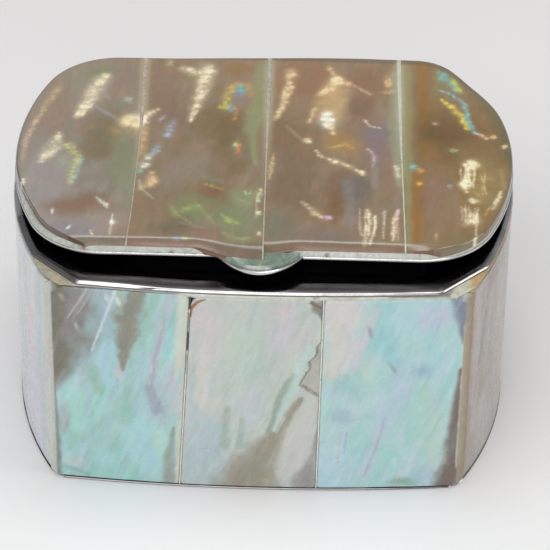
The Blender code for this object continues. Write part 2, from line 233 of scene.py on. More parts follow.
class Canvas:
    """Colours laid over the points of a mesh, in a flat coordinate across it and up it."""

    def __init__(self, across, up, ground):
        self.x = np.asarray(across, float)
        self.y = np.asarray(up, float)
        self.colour = np.tile(np.array(ground, float) / 255, (len(self.x), 1))
        self.glint_paint = np.zeros((len(self.x), 4))
        self.seed = 11

    def distance(self, shape):
        if isinstance(shape[0], tuple):
            return ribbon_distance(self.x, self.y, shape)
        return patch_distance(self.x, self.y, *shape)

    def mask(self, shape, soft, rough, grain):
        self.seed += 5
        d = self.distance(shape)
        near = d < 3.0
        d[near] += rough * fractal(self.x[near] * grain, self.y[near] * grain, self.seed)
        return 1 - smoothstep(1 - soft, 1 + soft, d)

    def lay(self, colour, mask):
        tone = np.array(colour, float) / 255
        self.colour += (tone - self.colour) * mask[:, None]

    def wash(self, strokes, soft=0.6, rough=0.5, grain=0.35):
        """Soft masses of colour."""
        for colour, amount, shape in strokes:
            self.lay(colour, self.mask(shape, soft, rough, grain) * amount)

    def lines(self, strokes):
        """Narrow marks with a firmer edge."""
        self.wash(strokes, 0.45, 0.35, 1.3)

    def streaks(self, colour, amount, degrees, seed, across=0.8, along=0.1, cut=0.05):
        a, b = turned(self.x, self.y, degrees)
        bend = fractal(a * 0.12, b * 0.12, seed + 3) * 1.2
        drift = fractal(a * across + bend, b * along, seed, 4)
        self.lay(colour, smoothstep(cut, cut + 0.5, drift) * amount)

    def hairs(self, look):
        """Many soft strokes laid side by side along the growth of the shell."""
        count, colours, lean, widest, strength = look
        rng = np.random.RandomState(count + len(colours))
        low_x, high_x, low_y, high_y = self.x.min(), self.x.max(), self.y.min(), self.y.max()
        for k in range(count):
            length = rng.uniform(3.0, 10.0)
            a = math.radians(lean + rng.normal() * 4.0)
            x, y = rng.uniform(low_x, high_x), rng.uniform(low_y - length / 2, high_y)
            w = rng.uniform(0.15, 1.0) ** 2 * widest + 0.06
            points = [(x + math.sin(a) * length * t, y + math.cos(a) * length * t, w * width)
                      for t, width in ((0.0, 0.25), (0.4, 1.0), (1.0, 0.2))]
            self.wash([(colours[k % len(colours)], strength * rng.uniform(0.4, 1.0), points)], 0.8, 0.3, 0.8)

    def cluster(self, shape):
        """Soft round spots set along a line of points, or gathered over a patch: the cores of painted
        highlights.
        """
        self.seed += 5
        rng = np.random.RandomState(self.seed)
        spots = []
        if isinstance(shape[0], tuple):
            for (ax, ay, aw), (bx, by, bw) in zip(shape, shape[1:]):
                count = max(2, int(math.hypot(bx - ax, by - ay) / (0.55 * (aw + bw))) + 1)
                for k in range(count):
                    t = (k + rng.uniform(0, 1)) / count
                    w = aw + (bw - aw) * t
                    off_x, off_y = rng.normal(0, 0.3, 2) * w
                    radius = w * rng.uniform(0.8, 1.4)
                    spots.append((ax + (bx - ax) * t + off_x, ay + (by - ay) * t + off_y, radius))
        else:
            centre_x, centre_y, radius_x, radius_y, lean = shape
            a = math.radians(lean)
            for _ in range(10):
                across, along = rng.normal(0, 0.42, 2) * (radius_x, radius_y)
                spots.append((centre_x + across * math.cos(a) + along * math.sin(a),
                              centre_y - across * math.sin(a) + along * math.cos(a),
                              min(radius_x, radius_y) * rng.uniform(0.45, 1.0)))
        power = np.zeros(len(self.x))
        bend = 0.25 * fractal(self.x * 1.3, self.y * 1.3, self.seed)
        for x, y, radius in spots:
            near = (abs(self.x - x) < 1.8 * radius) & (abs(self.y - y) < 1.8 * radius)
            d = np.hypot(self.x[near] - x, self.y[near] - y) / radius + bend[near]
            power[near] = np.maximum(power[near], (1 - smoothstep(0.1, 1.6, d)) * rng.uniform(0.6, 1.0))
        return power

    def paint_glints(self, strokes):
        """Painted highlights: bright flashes of reflected colour with a soft ragged body, kept apart from the
        ground colour, after a faint painted halo laid into it.
        """
        for colour, amount, shape in strokes:
            self.lay(colour, 0.17 * amount * (1 - smoothstep(0.4, 2.6, self.distance(shape))))
            body = self.mask(shape, 0.6, 0.6, 0.9)
            body = body * (0.5 + 0.6 * fractal(self.x * 0.6, self.y * 0.6, self.seed + 1))
            m = clamp(np.maximum(body, self.cluster(shape))) * amount
            tone = np.array(colour, float) / 255
            held = self.glint_paint[:, 3]
            share = m / np.maximum(m + held * (1 - m), 1e-6)
            self.glint_paint[:, :3] += (tone - self.glint_paint[:, :3]) * share[:, None]
            self.glint_paint[:, 3] = m + held * (1 - m)


def linear(colour):
    """Linear light from a colour as it shows on a screen."""
    colour = clamp(colour)
    return np.where(colour <= 0.04045, colour / 12.92, ((colour + 0.055) / 1.055) ** 2.4)


def keep_numbers(mesh, name, values):
    """Keeps one number for each point of the mesh, for its material to read."""
    kept = mesh.attributes.new(name, "FLOAT", "POINT")
    kept.data.foreach_set("value", np.asarray(values, np.float32))


def keep_colours(mesh, name, colours):
    kept = mesh.attributes.new(name, "FLOAT_COLOR", "POINT")
    whole = np.ones((len(colours), 4), np.float32)
    whole[:, :3] = linear(colours)
    kept.data.foreach_set("color", whole.ravel())


def keep_paint(mesh, canvas):
    keep_colours(mesh, "paint", canvas.colour)
    # the painted highlights: their colour and their strength
    keep_colours(mesh, "glint_paint", canvas.glint_paint[:, :3])
    keep_numbers(mesh, "power", canvas.glint_paint[:, 3])


def points_of(mesh):
    """The mesh's points, in metres."""
    flat = np.zeros(len(mesh.vertices) * 3, np.float32)
    mesh.vertices.foreach_get("co", flat)
    return flat.reshape(-1, 3).astype(float)


def canvas_over(mesh, across, up, ground):
    """A canvas over a mesh, seen along the axis that is not named."""
    points = points_of(mesh) / MM
    return Canvas(points[:, across], points[:, up], ground)


def set_points(mesh, points):
    mesh.vertices.foreach_set("co", np.asarray(points, np.float32).ravel())
    mesh.update()


# Materials


class Tree:
    """A short way to add and join shader nodes."""

    def __init__(self, name):
        self.material = bpy.data.materials.new(name)
        self.material.use_nodes = True
        self.nodes = self.material.node_tree.nodes
        self.links = self.material.node_tree.links
        self.shader = self.nodes["Principled BSDF"]
        self.place = self.nodes.new("ShaderNodeTexCoord").outputs["Object"]

    def join(self, source, target):
        if isinstance(source, bpy.types.NodeSocket):
            self.links.new(source, target)
        else:
            target.default_value = source

    def math(self, operation, a, b):
        node = self.nodes.new("ShaderNodeMath")
        node.operation = operation
        self.join(a, node.inputs[0])
        self.join(b, node.inputs[1])
        return node.outputs[0]

    def noise(self, scale, detail, rough, bend, degrees=(0, 0, 0)):
        """Noise on the piece's own coordinates, in bumps to the metre, the same along each axis or not."""
        turn = self.nodes.new("ShaderNodeMapping")
        turn.inputs["Rotation"].default_value = [math.radians(a) for a in degrees]
        self.join(self.place, turn.inputs[0])
        stretch = self.nodes.new("ShaderNodeMapping")
        stretch.inputs["Scale"].default_value = scale if isinstance(scale, (tuple, list)) else [scale] * 3
        self.join(turn.outputs[0], stretch.inputs[0])
        node = self.nodes.new("ShaderNodeTexNoise")
        node.inputs["Scale"].default_value = 1.0
        node.inputs["Detail"].default_value = detail
        node.inputs["Roughness"].default_value = rough
        node.inputs["Distortion"].default_value = bend
        self.join(stretch.outputs[0], node.inputs["Vector"])
        return node.outputs["Fac"]

    def spread(self, value, low, high, to_low=0.0, to_high=1.0):
        node = self.nodes.new("ShaderNodeMapRange")
        self.join(value, node.inputs["Value"])
        for key, number in (("From Min", low), ("From Max", high), ("To Min", to_low), ("To Max", to_high)):
            node.inputs[key].default_value = number
        return node.outputs[0]

    def ramp(self, value, stops):
        node = self.nodes.new("ShaderNodeValToRGB")
        self.join(value, node.inputs[0])
        band = node.color_ramp
        while len(band.elements) < len(stops):
            band.elements.new(0.5)
        for element, (at, colour) in zip(band.elements, stops):
            element.position = at
            element.color = (*linear(np.array(colour, float) / 255), 1.0)
        return node.outputs[0]

    def mix(self, share, a, b, kind="MIX"):
        node = self.nodes.new("ShaderNodeMix")
        node.data_type = "RGBA"
        node.blend_type = kind
        self.join(share, node.inputs[0])
        for source, target in ((a, node.inputs[6]), (b, node.inputs[7])):
            if isinstance(source, tuple):
                source = (*linear(np.array(source, float) / 255), 1.0)
            self.join(source, target)
        return node.outputs[2]

    def attribute(self, name, output):
        node = self.nodes.new("ShaderNodeAttribute")
        node.attribute_name = name
        return node.outputs[output]

    def bump(self, height, distance, strength=1.0, under=None):
        node = self.nodes.new("ShaderNodeBump")
        node.inputs["Distance"].default_value = distance
        node.inputs["Strength"].default_value = strength
        self.join(height, node.inputs["Height"])
        if under is not None:
            self.join(under, node.inputs["Normal"])
        return node.outputs[0]

    def finish(self, colour, roughness, normal=None, **sockets):
        self.join(colour, self.shader.inputs["Base Color"])
        self.join(roughness, self.shader.inputs["Roughness"])
        if normal is not None:
            self.join(normal, self.shader.inputs["Normal"])
        for name, value in sockets.items():
            self.shader.inputs[name.replace("_", " ")].default_value = value
        return self.material


def make_nacre(name, degrees, along, polish, streaked, clouded):
    """Mother-of-pearl: painted masses, clouded along its growth, with painted highlights laid over them,
    broken up and white at their brightest.
    """
    tree = Tree(name)

    def grown(across, length):
        """A scale whose bumps are drawn out along the growth of the shell."""
        return [across / length if axis == along else across for axis in range(3)]

    colour = tree.attribute("paint", "Color")
    mass = tree.noise(grown(420, 3), 3, 0.5, 2.4, degrees)
    sheen = tree.ramp(mass, ((0.32, (118, 124, 122)), (0.45, (166, 158, 152)), (0.56, (158, 166, 158)),
                             (0.70, (206, 198, 198))))
    colour = tree.mix(clouded, colour, sheen, "SOFT_LIGHT")
    cloud = tree.noise(230, 3, 0.5, 1.6)
    tint = tree.ramp(cloud, ((0.34, (150, 168, 160)), (0.5, (162, 158, 160)), (0.66, (180, 162, 148))))
    colour = tree.mix(0.35, colour, tint, "SOFT_LIGHT")
    streak = tree.noise(grown(1300, 8), 4, 0.55, 0.8, degrees)
    shade = tree.ramp(streak, ((0.3, (158, 160, 166)), (0.5, (188, 188, 188)), (0.72, (236, 234, 228))))
    colour = tree.mix(streaked, colour, shade, "SOFT_LIGHT")
    blotch = tree.noise(1100, 1, 0.5, 0.8)
    grain = tree.noise(grown(2600, 3.5), 1, 0.5, 0.5, degrees)
    # painted highlights, kept with the mesh as a strength and a colour
    power = tree.attribute("power", "Fac")
    glint_paint = tree.attribute("glint_paint", "Color")
    broken = tree.math("ADD", tree.spread(blotch, 0.2, 0.8, -0.17, 0.17),
                       tree.spread(grain, 0.2, 0.8, -0.1, 0.1))
    lifted = tree.math("ADD", tree.math("MULTIPLY", power, 1.5), broken)
    core = tree.math("MULTIPLY", tree.spread(lifted, 0.4, 1.3), tree.spread(power, 0.04, 0.3))
    flash = tree.math("MAXIMUM", core, tree.math("MULTIPLY", power, 0.45))
    deeper = tree.mix(0.5, glint_paint, (190, 158, 116), "MULTIPLY")
    toned = tree.mix(tree.spread(blotch, 0.34, 0.56, 0.34, 0.0), glint_paint, deeper)
    colour = tree.mix(flash, colour, toned)
    # white cores of the brightest painted highlights
    white = tree.math("MULTIPLY", tree.spread(lifted, 1.3, 1.8), tree.spread(power, 0.86, 0.98))
    colour = tree.mix(white, colour, (255, 252, 240))
    roughness = tree.spread(cloud, 0.3, 0.7, *polish)
    relief = tree.bump(mass, 0.00002, 0.2)
    relief = tree.bump(blotch, 0.00001, 0.08, relief)
    return tree.finish(colour, roughness, relief, IOR=1.53, Coat_Weight=0.5, Coat_Roughness=0.09)


def make_metal():
    """Polished sheet metal with fine scratches, a little tarnish, and painted shade on the case's hollow,
    flange, rim and foot.
    """
    tree = Tree("polished_metal_look")
    tarnish = tree.noise((150, 150, 210), 5, 0.62, 0.8)
    colour = tree.ramp(tarnish, ((0.30, (180, 177, 176)), (0.50, (206, 204, 204)), (0.72, (222, 221, 222))))
    speck = tree.noise((2100, 2100, 1500), 4, 0.7, 0.3)
    colour = tree.mix(tree.spread(speck, 0.66, 0.76, 0.0, 0.4), colour, (98, 92, 88))
    # painted shade: the metal darkened towards this grey where the case's marks say
    colour = tree.mix(tree.attribute("inside", "Fac"), colour, (58, 56, 58))
    scratch = tree.noise((420, 5200, 5200), 3, 0.6, 0.2, (0, 0, 14))
    roughness = tree.spread(tarnish, 0.3, 0.7, 0.24, 0.11)
    relief = tree.bump(scratch, 0.000012, 0.5)
    relief = tree.bump(tarnish, 0.00003, 0.5, relief)
    return tree.finish(colour, roughness, relief, Metallic=1.0)


def make_pin_metal():
    tree = Tree("pin_metal_look")
    wear = tree.noise((700, 260, 260), 4, 0.6, 0.5)
    colour = tree.ramp(wear, ((0.3, (104, 99, 94)), (0.7, (168, 165, 160))))
    relief = tree.bump(wear, 0.00004, 0.5)
    return tree.finish(colour, tree.spread(wear, 0.3, 0.7, 0.42, 0.26), relief, Metallic=1.0)


def make_filler():
    """Cream setting compound in the joints, cracked and stained with age."""
    tree = Tree("filler_look")
    paint = tree.attribute("paint", "Color")
    mottle = tree.noise(900, 5, 0.65, 1)
    shade = tree.ramp(mottle, ((0.28, (120, 112, 98)), (0.48, (205, 203, 194)), (0.7, (250, 250, 244))))
    colour = tree.mix(0.6, paint, shade, "SOFT_LIGHT")
    stain = tree.noise(380, 7, 0.78, 0.6)
    colour = tree.mix(tree.spread(stain, 0.60, 0.68, 0.0, 0.8), colour, (96, 78, 62))
    relief = tree.bump(mottle, 0.00012, 0.7)
    return tree.finish(colour, tree.spread(mottle, 0.3, 0.7, 0.55, 0.34), relief)


def make_floor_look():
    tree = Tree("floor_look")
    tone = tree.noise(2.2, 2, 0.5, 0)
    colour = tree.ramp(tone, ((0.3, (233, 234, 236)), (0.7, (240, 240, 241))))
    split = tree.nodes.new("ShaderNodeSeparateXYZ")
    tree.join(tree.place, split.inputs[0])
    # painted shade: the floor darker and warmer towards the back
    colour = tree.mix(tree.spread(split.outputs[1], -0.05, 0.3, 0.0, 0.8), colour, (219, 213, 210))
    return tree.finish(colour, 0.65)


# Mesh helpers


def smooth(mesh, sharp_degrees=32.0):
    mesh.shade_smooth()
    mesh.set_sharp_from_angle(angle=math.radians(sharp_degrees))


def mesh_from(shape, name, sharp_degrees=32.0):
    """The bmesh as a mesh in metres, still in the coordinates it was built in."""
    bmesh.ops.recalc_face_normals(shape, faces=shape.faces)
    mesh = bpy.data.meshes.new(name)
    shape.to_mesh(mesh)
    shape.free()
    mesh.transform(Matrix.Scale(MM, 4))
    smooth(mesh, sharp_degrees)
    return mesh


def open_lid(mesh):
    """Draw in the flatter back right corner of the closed lid, and turn it to where the lid stands."""
    points = points_of(mesh) / MM
    across, along = ((points[:, :2] - CORNER_PLACE) / CORNER_REACH).T
    near = np.exp(-across ** 2 - along ** 2)
    points[:, 0] -= CORNER_DRAW[0] * near
    points[:, 1] -= CORNER_DRAW[1] * near
    set_points(mesh, points * MM)
    hinge = Matrix.Translation((0.0, HINGE_Y * MM, HINGE_Z * MM))
    mesh.transform(hinge @ Matrix.Rotation(AJAR, 4, "X") @ hinge.inverted())


def add_piece(name, mesh, material, body, slot, *nodes):
    """Puts a mesh on a body, in place of the nodes that are named."""
    piece = bpy.data.objects.new(name, mesh)
    bpy.context.scene.collection.objects.link(piece)
    mesh.materials.append(material)
    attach(piece, body)
    if nodes:
        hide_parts(*nodes)


def loft(rings, hoop=False):
    """A closed solid from rings of equal length, closed at both ends or run round into a hoop."""
    shape = bmesh.new()
    loops = [[shape.verts.new(point) for point in ring] for ring in rings]
    for lower, upper in zip(loops, loops[1:] + loops[:1] if hoop else loops[1:]):
        count = len(lower)
        for i in range(count):
            j = (i + 1) % count
            shape.faces.new((lower[i], lower[j], upper[j], upper[i]))
    if not hoop:
        shape.faces.new(list(reversed(loops[0])))
        shape.faces.new(loops[-1])
    return shape


def grid(x, y, z):
    """Rows of points from three arrays that are spread to one shape."""
    return np.stack(np.broadcast_arrays(x, y, z), axis=2)


def slab(front, back):
    """A closed slab. Both grids are rows of points; only the rim of the back one is used."""
    rows, columns = front.shape[:2]
    shape = bmesh.new()
    face = [[shape.verts.new(front[r, c]) for c in range(columns)] for r in range(rows)]
    for r in range(rows - 1):
        for c in range(columns - 1):
            shape.faces.new((face[r][c], face[r][c + 1], face[r + 1][c + 1], face[r + 1][c]))
    rim = [(0, c) for c in range(columns)]
    rim += [(r, columns - 1) for r in range(1, rows)]
    rim += [(rows - 1, c) for c in range(columns - 2, -1, -1)]
    rim += [(r, 0) for r in range(rows - 2, 0, -1)]
    behind = {at: shape.verts.new(back[at]) for at in rim}
    for a, b in zip(rim, rim[1:] + rim[:1]):
        shape.faces.new((face[b[0]][b[1]], face[a[0]][a[1]], behind[a], behind[b]))
    for c in range(columns - 1):
        loop = [behind[(0, c)], behind[(0, c + 1)]]
        if c == columns - 2:
            loop += [behind[(r, columns - 1)] for r in range(1, rows - 1)]
        loop += [behind[(rows - 1, c + 1)], behind[(rows - 1, c)]]
        if c == 0:
            loop += [behind[(r, 0)] for r in range(rows - 2, 0, -1)]
        shape.faces.new(loop)
    return shape


def slab_down_to(bottom, outer):
    """A closed slab with a level underside."""
    inner = outer.copy()
    inner[:, :, 2] = bottom
    return slab(outer, inner)


def trim(shape, point, normal):
    """Cuts off what lies beyond a plane, and closes the cut."""
    parts = shape.verts[:] + shape.edges[:] + shape.faces[:]
    done = bmesh.ops.bisect_plane(shape, geom=parts, plane_co=point, plane_no=normal, clear_outer=True)
    cut_edges = [item for item in done["geom_cut"] if isinstance(item, bmesh.types.BMEdge)]
    if cut_edges:
        bmesh.ops.holes_fill(shape, edges=cut_edges, sides=0)


def ticks(length, pitch):
    """Shares from 0 to 1, set closer together near both ends."""
    edge = np.array(EDGE_STEPS)
    count = max(2, int(round((length - 2 * edge[-1]) / pitch)) + 1)
    inner = np.linspace(edge[-1], length - edge[-1], count)
    return np.concatenate([edge[:-1], inner, length - edge[-2::-1]]) / length


def height_ticks(top, pitch):
    """Heights up a slab of the body, as a column."""
    height = top - SLAB_BOTTOM
    return SLAB_BOTTOM + ticks(height, pitch)[:, None] * height


def round_drop(radius, *distances):
    """How far a face falls away near its edges, whose distances are given."""
    reach = np.sqrt(sum(clamp(radius - d, 0.0, radius) ** 2 for d in distances))
    return radius - np.sqrt(np.maximum(radius ** 2 - np.minimum(reach, radius) ** 2, 0.0))


# Outlines


def front_y(x):
    return FRONT_Y - FRONT_BOW * (1 - (np.asarray(x) / HALF_FRONT) ** 2)


def end_x(y, inset=0.0):
    return END_CENTRE + np.sqrt((END_RADIUS - inset) ** 2 - (np.asarray(y) - MIDDLE_Y) ** 2)


def between(a, b, steps):
    """Points between two corners, without the corners."""
    return [(a[0] + (b[0] - a[0]) * i / steps, a[1] + (b[1] - a[1]) * i / steps) for i in range(1, steps)]


def root(function, low, high):
    """Where a function of one number changes sign."""
    sign = function(low) > 0
    for _ in range(50):
        middle = (low + high) / 2
        if (function(middle) > 0) == sign:
            low = middle
        else:
            high = middle
    return low


def body_outline(corner_cut, inset=0.0):
    """Plan of the case, drawn in by the inset, with its four upright corners cut flat."""
    along_x, along_y = corner_cut
    sides = []
    for front in (True, False):
        edge_y = FRONT_Y if front else BACK_Y
        inward = 1 if front else -1

        def side_y(x, front=front, edge_y=edge_y, inward=inward):
            return (float(front_y(x)) if front else edge_y) + inward * inset

        first = Vector((HALF_FRONT - along_x, side_y(HALF_FRONT - along_x) - inward * inset))
        second_y = edge_y + inward * along_y
        second = Vector((float(end_x(second_y)), second_y))
        along = (second - first).normalized()
        normal = Vector((-along.y, along.x)) * inward
        start = first + normal * inset

        def side_gap(x, side_y=side_y, start=start, normal=normal):
            return (Vector((x, side_y(x))) - start).dot(normal)

        def end_gap(y, start=start, normal=normal):
            return (Vector((float(end_x(y, inset)), y)) - start).dot(normal)

        sides.append((side_y, root(side_gap, 0.0, HALF_FRONT), root(end_gap, MIDDLE_Y, edge_y)))
    (front_line, front_x, front_end), (back_line, back_x, back_end) = sides
    count = OUTLINE_STEPS + 1
    front = [(x, front_line(x)) for x in np.linspace(-front_x, front_x, count)]
    right = [(float(end_x(y, inset)), y) for y in np.linspace(front_end, back_end, count)]
    back = [(x, back_line(x)) for x in np.linspace(back_x, -back_x, count)]
    left = [(-x, y) for x, y in reversed(right)]
    whole = []
    around = (front, right, back, left)
    for side, following in zip(around, around[1:] + around[:1]):
        whole += side + between(side[-1], following[0], 8)
    return whole


def inset_outline(points, distance):
    """The outline moved in by a distance all round."""
    if distance == 0:
        return list(points)
    count = len(points)
    moved = []
    for i in range(count):
        before, here, after = (Vector(points[(i + k) % count]) for k in (-1, 0, 1))
        first = (here - before).normalized()
        second = (after - here).normalized()
        first_in = Vector((-first.y, first.x))
        middle = (first_in + Vector((-second.y, second.x))).normalized()
        moved.append(tuple(here + middle * (distance / middle.dot(first_in))))
    return moved


def at_height(outline, z):
    return [(x, y, z) for x, y in outline]


def rod(x_from, x_to, radius):
    """A round bar on the axis of the hinge."""
    turns = [2 * math.pi * i / ROD_SIDES for i in range(ROD_SIDES)]
    ring = [(HINGE_Y + radius * math.cos(a), HINGE_Z + radius * math.sin(a)) for a in turns]
    return loft([[(x, y, z) for y, z in ring] for x in (x_from, x_to)])


def block(low, high):
    plan = ((low[0], low[1]), (high[0], low[1]), (high[0], high[1]), (low[0], high[1]))
    return loft([at_height(plan, z) for z in (low[2], high[2])])


def combine(mesh, shape, operation):
    """The mesh joined with a shape, or with the shape cut out of it."""
    holder = bpy.data.objects.new("holder", mesh)
    cutter = bpy.data.objects.new("cutter", mesh_from(shape, "cutter"))
    for item in (holder, cutter):
        bpy.context.scene.collection.objects.link(item)
    change = holder.modifiers.new("change", "BOOLEAN")
    change.operation = operation
    change.object = cutter
    bpy.context.view_layer.update()
    seen = holder.evaluated_get(bpy.context.evaluated_depsgraph_get())
    result = bpy.data.meshes.new_from_object(seen)
    for item in (holder, cutter):
        bpy.data.objects.remove(item, do_unlink=True)
    return result


# The metal case and the metal of the lid


def front_left(x, y, start, full):
    """From 0 to 1 along the front edge, towards the left."""
    leftward = smoothstep(-start, -full, -np.asarray(x, float))
    return leftward * smoothstep(MIDDLE_Y, MIDDLE_Y - FRONT_RUN_OUT, np.asarray(y, float))


def body_ring(corner_cut, inset, z):
    return at_height(body_outline(corner_cut, inset), z)


def case_rings():
    """Rings from under the foot, up the outside, over the rim and down into the hollow."""
    opening_inset = WALL_DEPTH + RIM_LIP
    shoulder = RIM_SET_BACK + RIM_CHAMFER
    rings = [
        body_ring(FOOT_CORNER_CUT, 0.15, 0.0),
        body_ring(FOOT_CORNER_CUT, 0.0, 0.15),
        body_ring(FOOT_CORNER_CUT, 0.0, FOOT_THICKNESS - 0.1),
        body_ring(FOOT_CORNER_CUT, 0.1, FOOT_THICKNESS),
        body_ring(WALL_CORNER_CUT, SHELL_THICKNESS + GAP, FOOT_THICKNESS),
        body_ring(WALL_CORNER_CUT, SHELL_THICKNESS + GAP, RIM_BOTTOM),
    ]
    rim_profile = (
        (RIM_SET_BACK + 0.1, RIM_BOTTOM),
        (RIM_SET_BACK, RIM_BOTTOM + 0.12),
        (RIM_SET_BACK, BODY_HEIGHT - RIM_CHAMFER - 0.08),
        (RIM_SET_BACK + 0.03, BODY_HEIGHT - RIM_CHAMFER),
        (shoulder, BODY_HEIGHT - 0.04),
        (shoulder + 0.12, BODY_HEIGHT),
    )
    for inset, z in rim_profile:
        ring = body_outline(RIM_CORNER_CUT, inset)
        if inset >= shoulder:
            rounder = body_outline(RIM_CORNER_CUT, inset + LEFT_RIM_ROUND)
            shares = [front_left(x, y, *LEFT_ROUND_PLACE) for x, y in ring]
            ring = [(a[0] + (b[0] - a[0]) * s, a[1] + (b[1] - a[1]) * s)
                    for a, b, s in zip(ring, rounder, shares)]
        rings.append(at_height(ring, z))
    return rings + [
        body_ring(RIM_CORNER_CUT, 1.2, BODY_HEIGHT),
        body_ring(RIM_CORNER_CUT, opening_inset - 0.2, BODY_HEIGHT),
        body_ring(RIM_CORNER_CUT, opening_inset, BODY_HEIGHT - 0.15),
        body_ring(RIM_CORNER_CUT, opening_inset, RIM_BOTTOM),
        body_ring(CAVITY_CORNER_CUT, WALL_DEPTH, RIM_BOTTOM),
        body_ring(CAVITY_CORNER_CUT, WALL_DEPTH, FLOOR_THICKNESS + 0.4),
        body_ring(CAVITY_CORNER_CUT, WALL_DEPTH + 0.4, FLOOR_THICKNESS),
    ]


def with_knuckle(mesh, x_from, x_to, leaf_bottom, leaf_top):
    """The mesh joined with a knuckle of the hinge and the leaf that carries it."""
    leaf = block((x_from, BACK_Y - LEAF_OVERLAP, leaf_bottom), (x_to, HINGE_Y, leaf_top))
    mesh = combine(mesh, leaf, "UNION")
    return combine(mesh, rod(x_from, x_to, KNUCKLE_RADIUS), "UNION")


def bored(mesh, half_length):
    """The mesh with the bore for the pin cut through its knuckles."""
    return combine(mesh, rod(-half_length, half_length, PIN_RADIUS + GAP), "DIFFERENCE")


def painted_metal_shade(x, y, z):
    """Painted shade on the case's metal: its hollow, the inner part of its flange, the left of its front rim,
    the rim's upright face and its foot, with random wear on the front rim.
    """
    edge = np.minimum(HALF_BODY - abs(x), np.minimum(y - FRONT_Y, BACK_Y - y))
    # painted shade in the hollow
    hollow = (z < RIM_BOTTOM + 0.1) & (z > FLOOR_THICKNESS - 0.01) & (edge > WALL_DEPTH - 1.6)
    inner_face = WALL_DEPTH - 0.25
    from_end = end_x(clamp(y, FRONT_Y, BACK_Y)) - abs(x)
    hollow &= (abs(y - front_y(x)) > inner_face) & (BACK_Y - y > inner_face) & (from_end > inner_face)
    depth_in = np.minimum(y - front_y(clamp(x, -HALF_FRONT, HALF_FRONT)), from_end)
    # painted shade: the flange darker inwards from its edge
    flange = FLANGE_DARK * (z > BODY_HEIGHT - 0.03) * smoothstep(0.35, 1.3, depth_in)
    front_rim = (y < MIDDLE_Y - 10) * (z > RIM_BOTTOM)
    # painted shade on the left of the front rim
    left_rim_shade = LEFT_RIM_PAINTED_SHADE * smoothstep(18.0, 26.0, -x) * front_rim
    worn = WORN_DARK * smoothstep(-0.1, 0.4, fractal(x * 0.22 + 7, y * 0.22, 43)) * front_rim
    # painted shade on the rim's upright face
    side = RIM_SIDE_DARK * (z > RIM_BOTTOM) * (z < BODY_HEIGHT - RIM_CHAMFER - 0.04)
    # painted shade on the foot, less of it towards the right
    foot = FOOT_DARK - FOOT_BRIGHTER * smoothstep(22.0, 30.0, x)
    return np.where(z < FOOT_THICKNESS + 0.05, foot, np.maximum.reduce((hollow, flange, left_rim_shade, worn, side)))


def make_case(metal):
    mesh = mesh_from(loft(case_rings()), "case_metal")
    leaf_top = BODY_HEIGHT - LEAF_DROP
    inner = KNUCKLE_LENGTH / 2 + GAP
    for side in (-1, 1):
        low, high = sorted((side * inner, side * (inner + KNUCKLE_LENGTH)))
        mesh = with_knuckle(mesh, low, high, leaf_top - LEAF_THICKNESS, leaf_top)
    mesh = bored(mesh, KNUCKLE_LENGTH * 2)
    smooth(mesh)
    points = points_of(mesh) / MM
    x, y, z = points.T
    # the metal's painted shade, kept for its material
    keep_numbers(mesh, "inside", painted_metal_shade(x, y, z))
    wave = fractal(x * 0.13 + 40, y * 0.13 + 40, 5) * 0.07
    near_top = smoothstep(RIM_BOTTOM - 0.2, RIM_BOTTOM, z) * (y < BACK_Y - 2)
    points[:, 2] += (LEFT_RIM_RISE * front_left(x, y, *LEFT_RIM_PLACE) - abs(wave)) * near_top
    set_points(mesh, points * MM)
    add_piece("case_metal", mesh, metal, "case", "polished_metal", "case")


def lid_outline(tab):
    """Plan of the closed lid, anticlockwise from the left end of its front edge."""
    angles = np.linspace(-math.pi / 2, -ARCS_MEET, CORNER_STEPS + 1)
    corner = [(CORNER_ARC_X + LID_CORNER_RADIUS * math.cos(a),
               LID_MIDDLE_Y - CORNER_ARC_Y + LID_CORNER_RADIUS * math.sin(a)) for a in angles]
    sweep = np.linspace(-ARCS_MEET, ARCS_MEET, END_STEPS + 1)[1:-1]
    end = [(END_ARC_X + LID_END_RADIUS * math.cos(a),
            LID_MIDDLE_Y + LID_END_RADIUS * math.sin(a)) for a in sweep]
    back_corner = [(x, 2 * LID_MIDDLE_Y - y) for x, y in reversed(corner)]
    right = corner + end + back_corner
    left = [(-x, y) for x, y in reversed(right)]
    middle = tab_edge() if tab else [(x, LID_FRONT_Y) for x in np.linspace(-8, 8, 21)]
    front = between(left[-1], middle[0], 24) + middle + between(middle[-1], right[0], 24)
    return front + right + between(right[-1], left[0], 60) + left


def tab_edge():
    half = TAB_WIDTH / 2
    xs = [half * math.sin(math.pi * (i / TAB_STEPS - 0.5)) for i in range(TAB_STEPS + 1)]
    return [(x, LID_FRONT_Y - TAB_REACH * (1 - (x / half) ** 2)) for x in xs]


def make_lid_metal(metal):
    outline = lid_outline(True)
    profile = ((0.12, LID_BOTTOM), (0.03, LID_BOTTOM + 0.05), (0.0, LID_BOTTOM + 0.14),
               (0.0, LID_TOP - 0.14), (0.03, LID_TOP - 0.05), (0.12, LID_TOP))
    rings = [at_height(inset_outline(outline, inset), z) for inset, z in profile]
    mesh = mesh_from(loft(rings), "lid_metal")
    half = KNUCKLE_LENGTH / 2
    mesh = with_knuckle(mesh, -half, half, LID_BOTTOM, LID_TOP)
    mesh = bored(mesh, half * 2)
    smooth(mesh, 24.0)
    keep_numbers(mesh, "inside", np.zeros(len(mesh.vertices)))
    open_lid(mesh)
    add_piece("lid_metal", mesh, metal, "lid", "polished_metal", "lid_plate")


# The slabs of the body

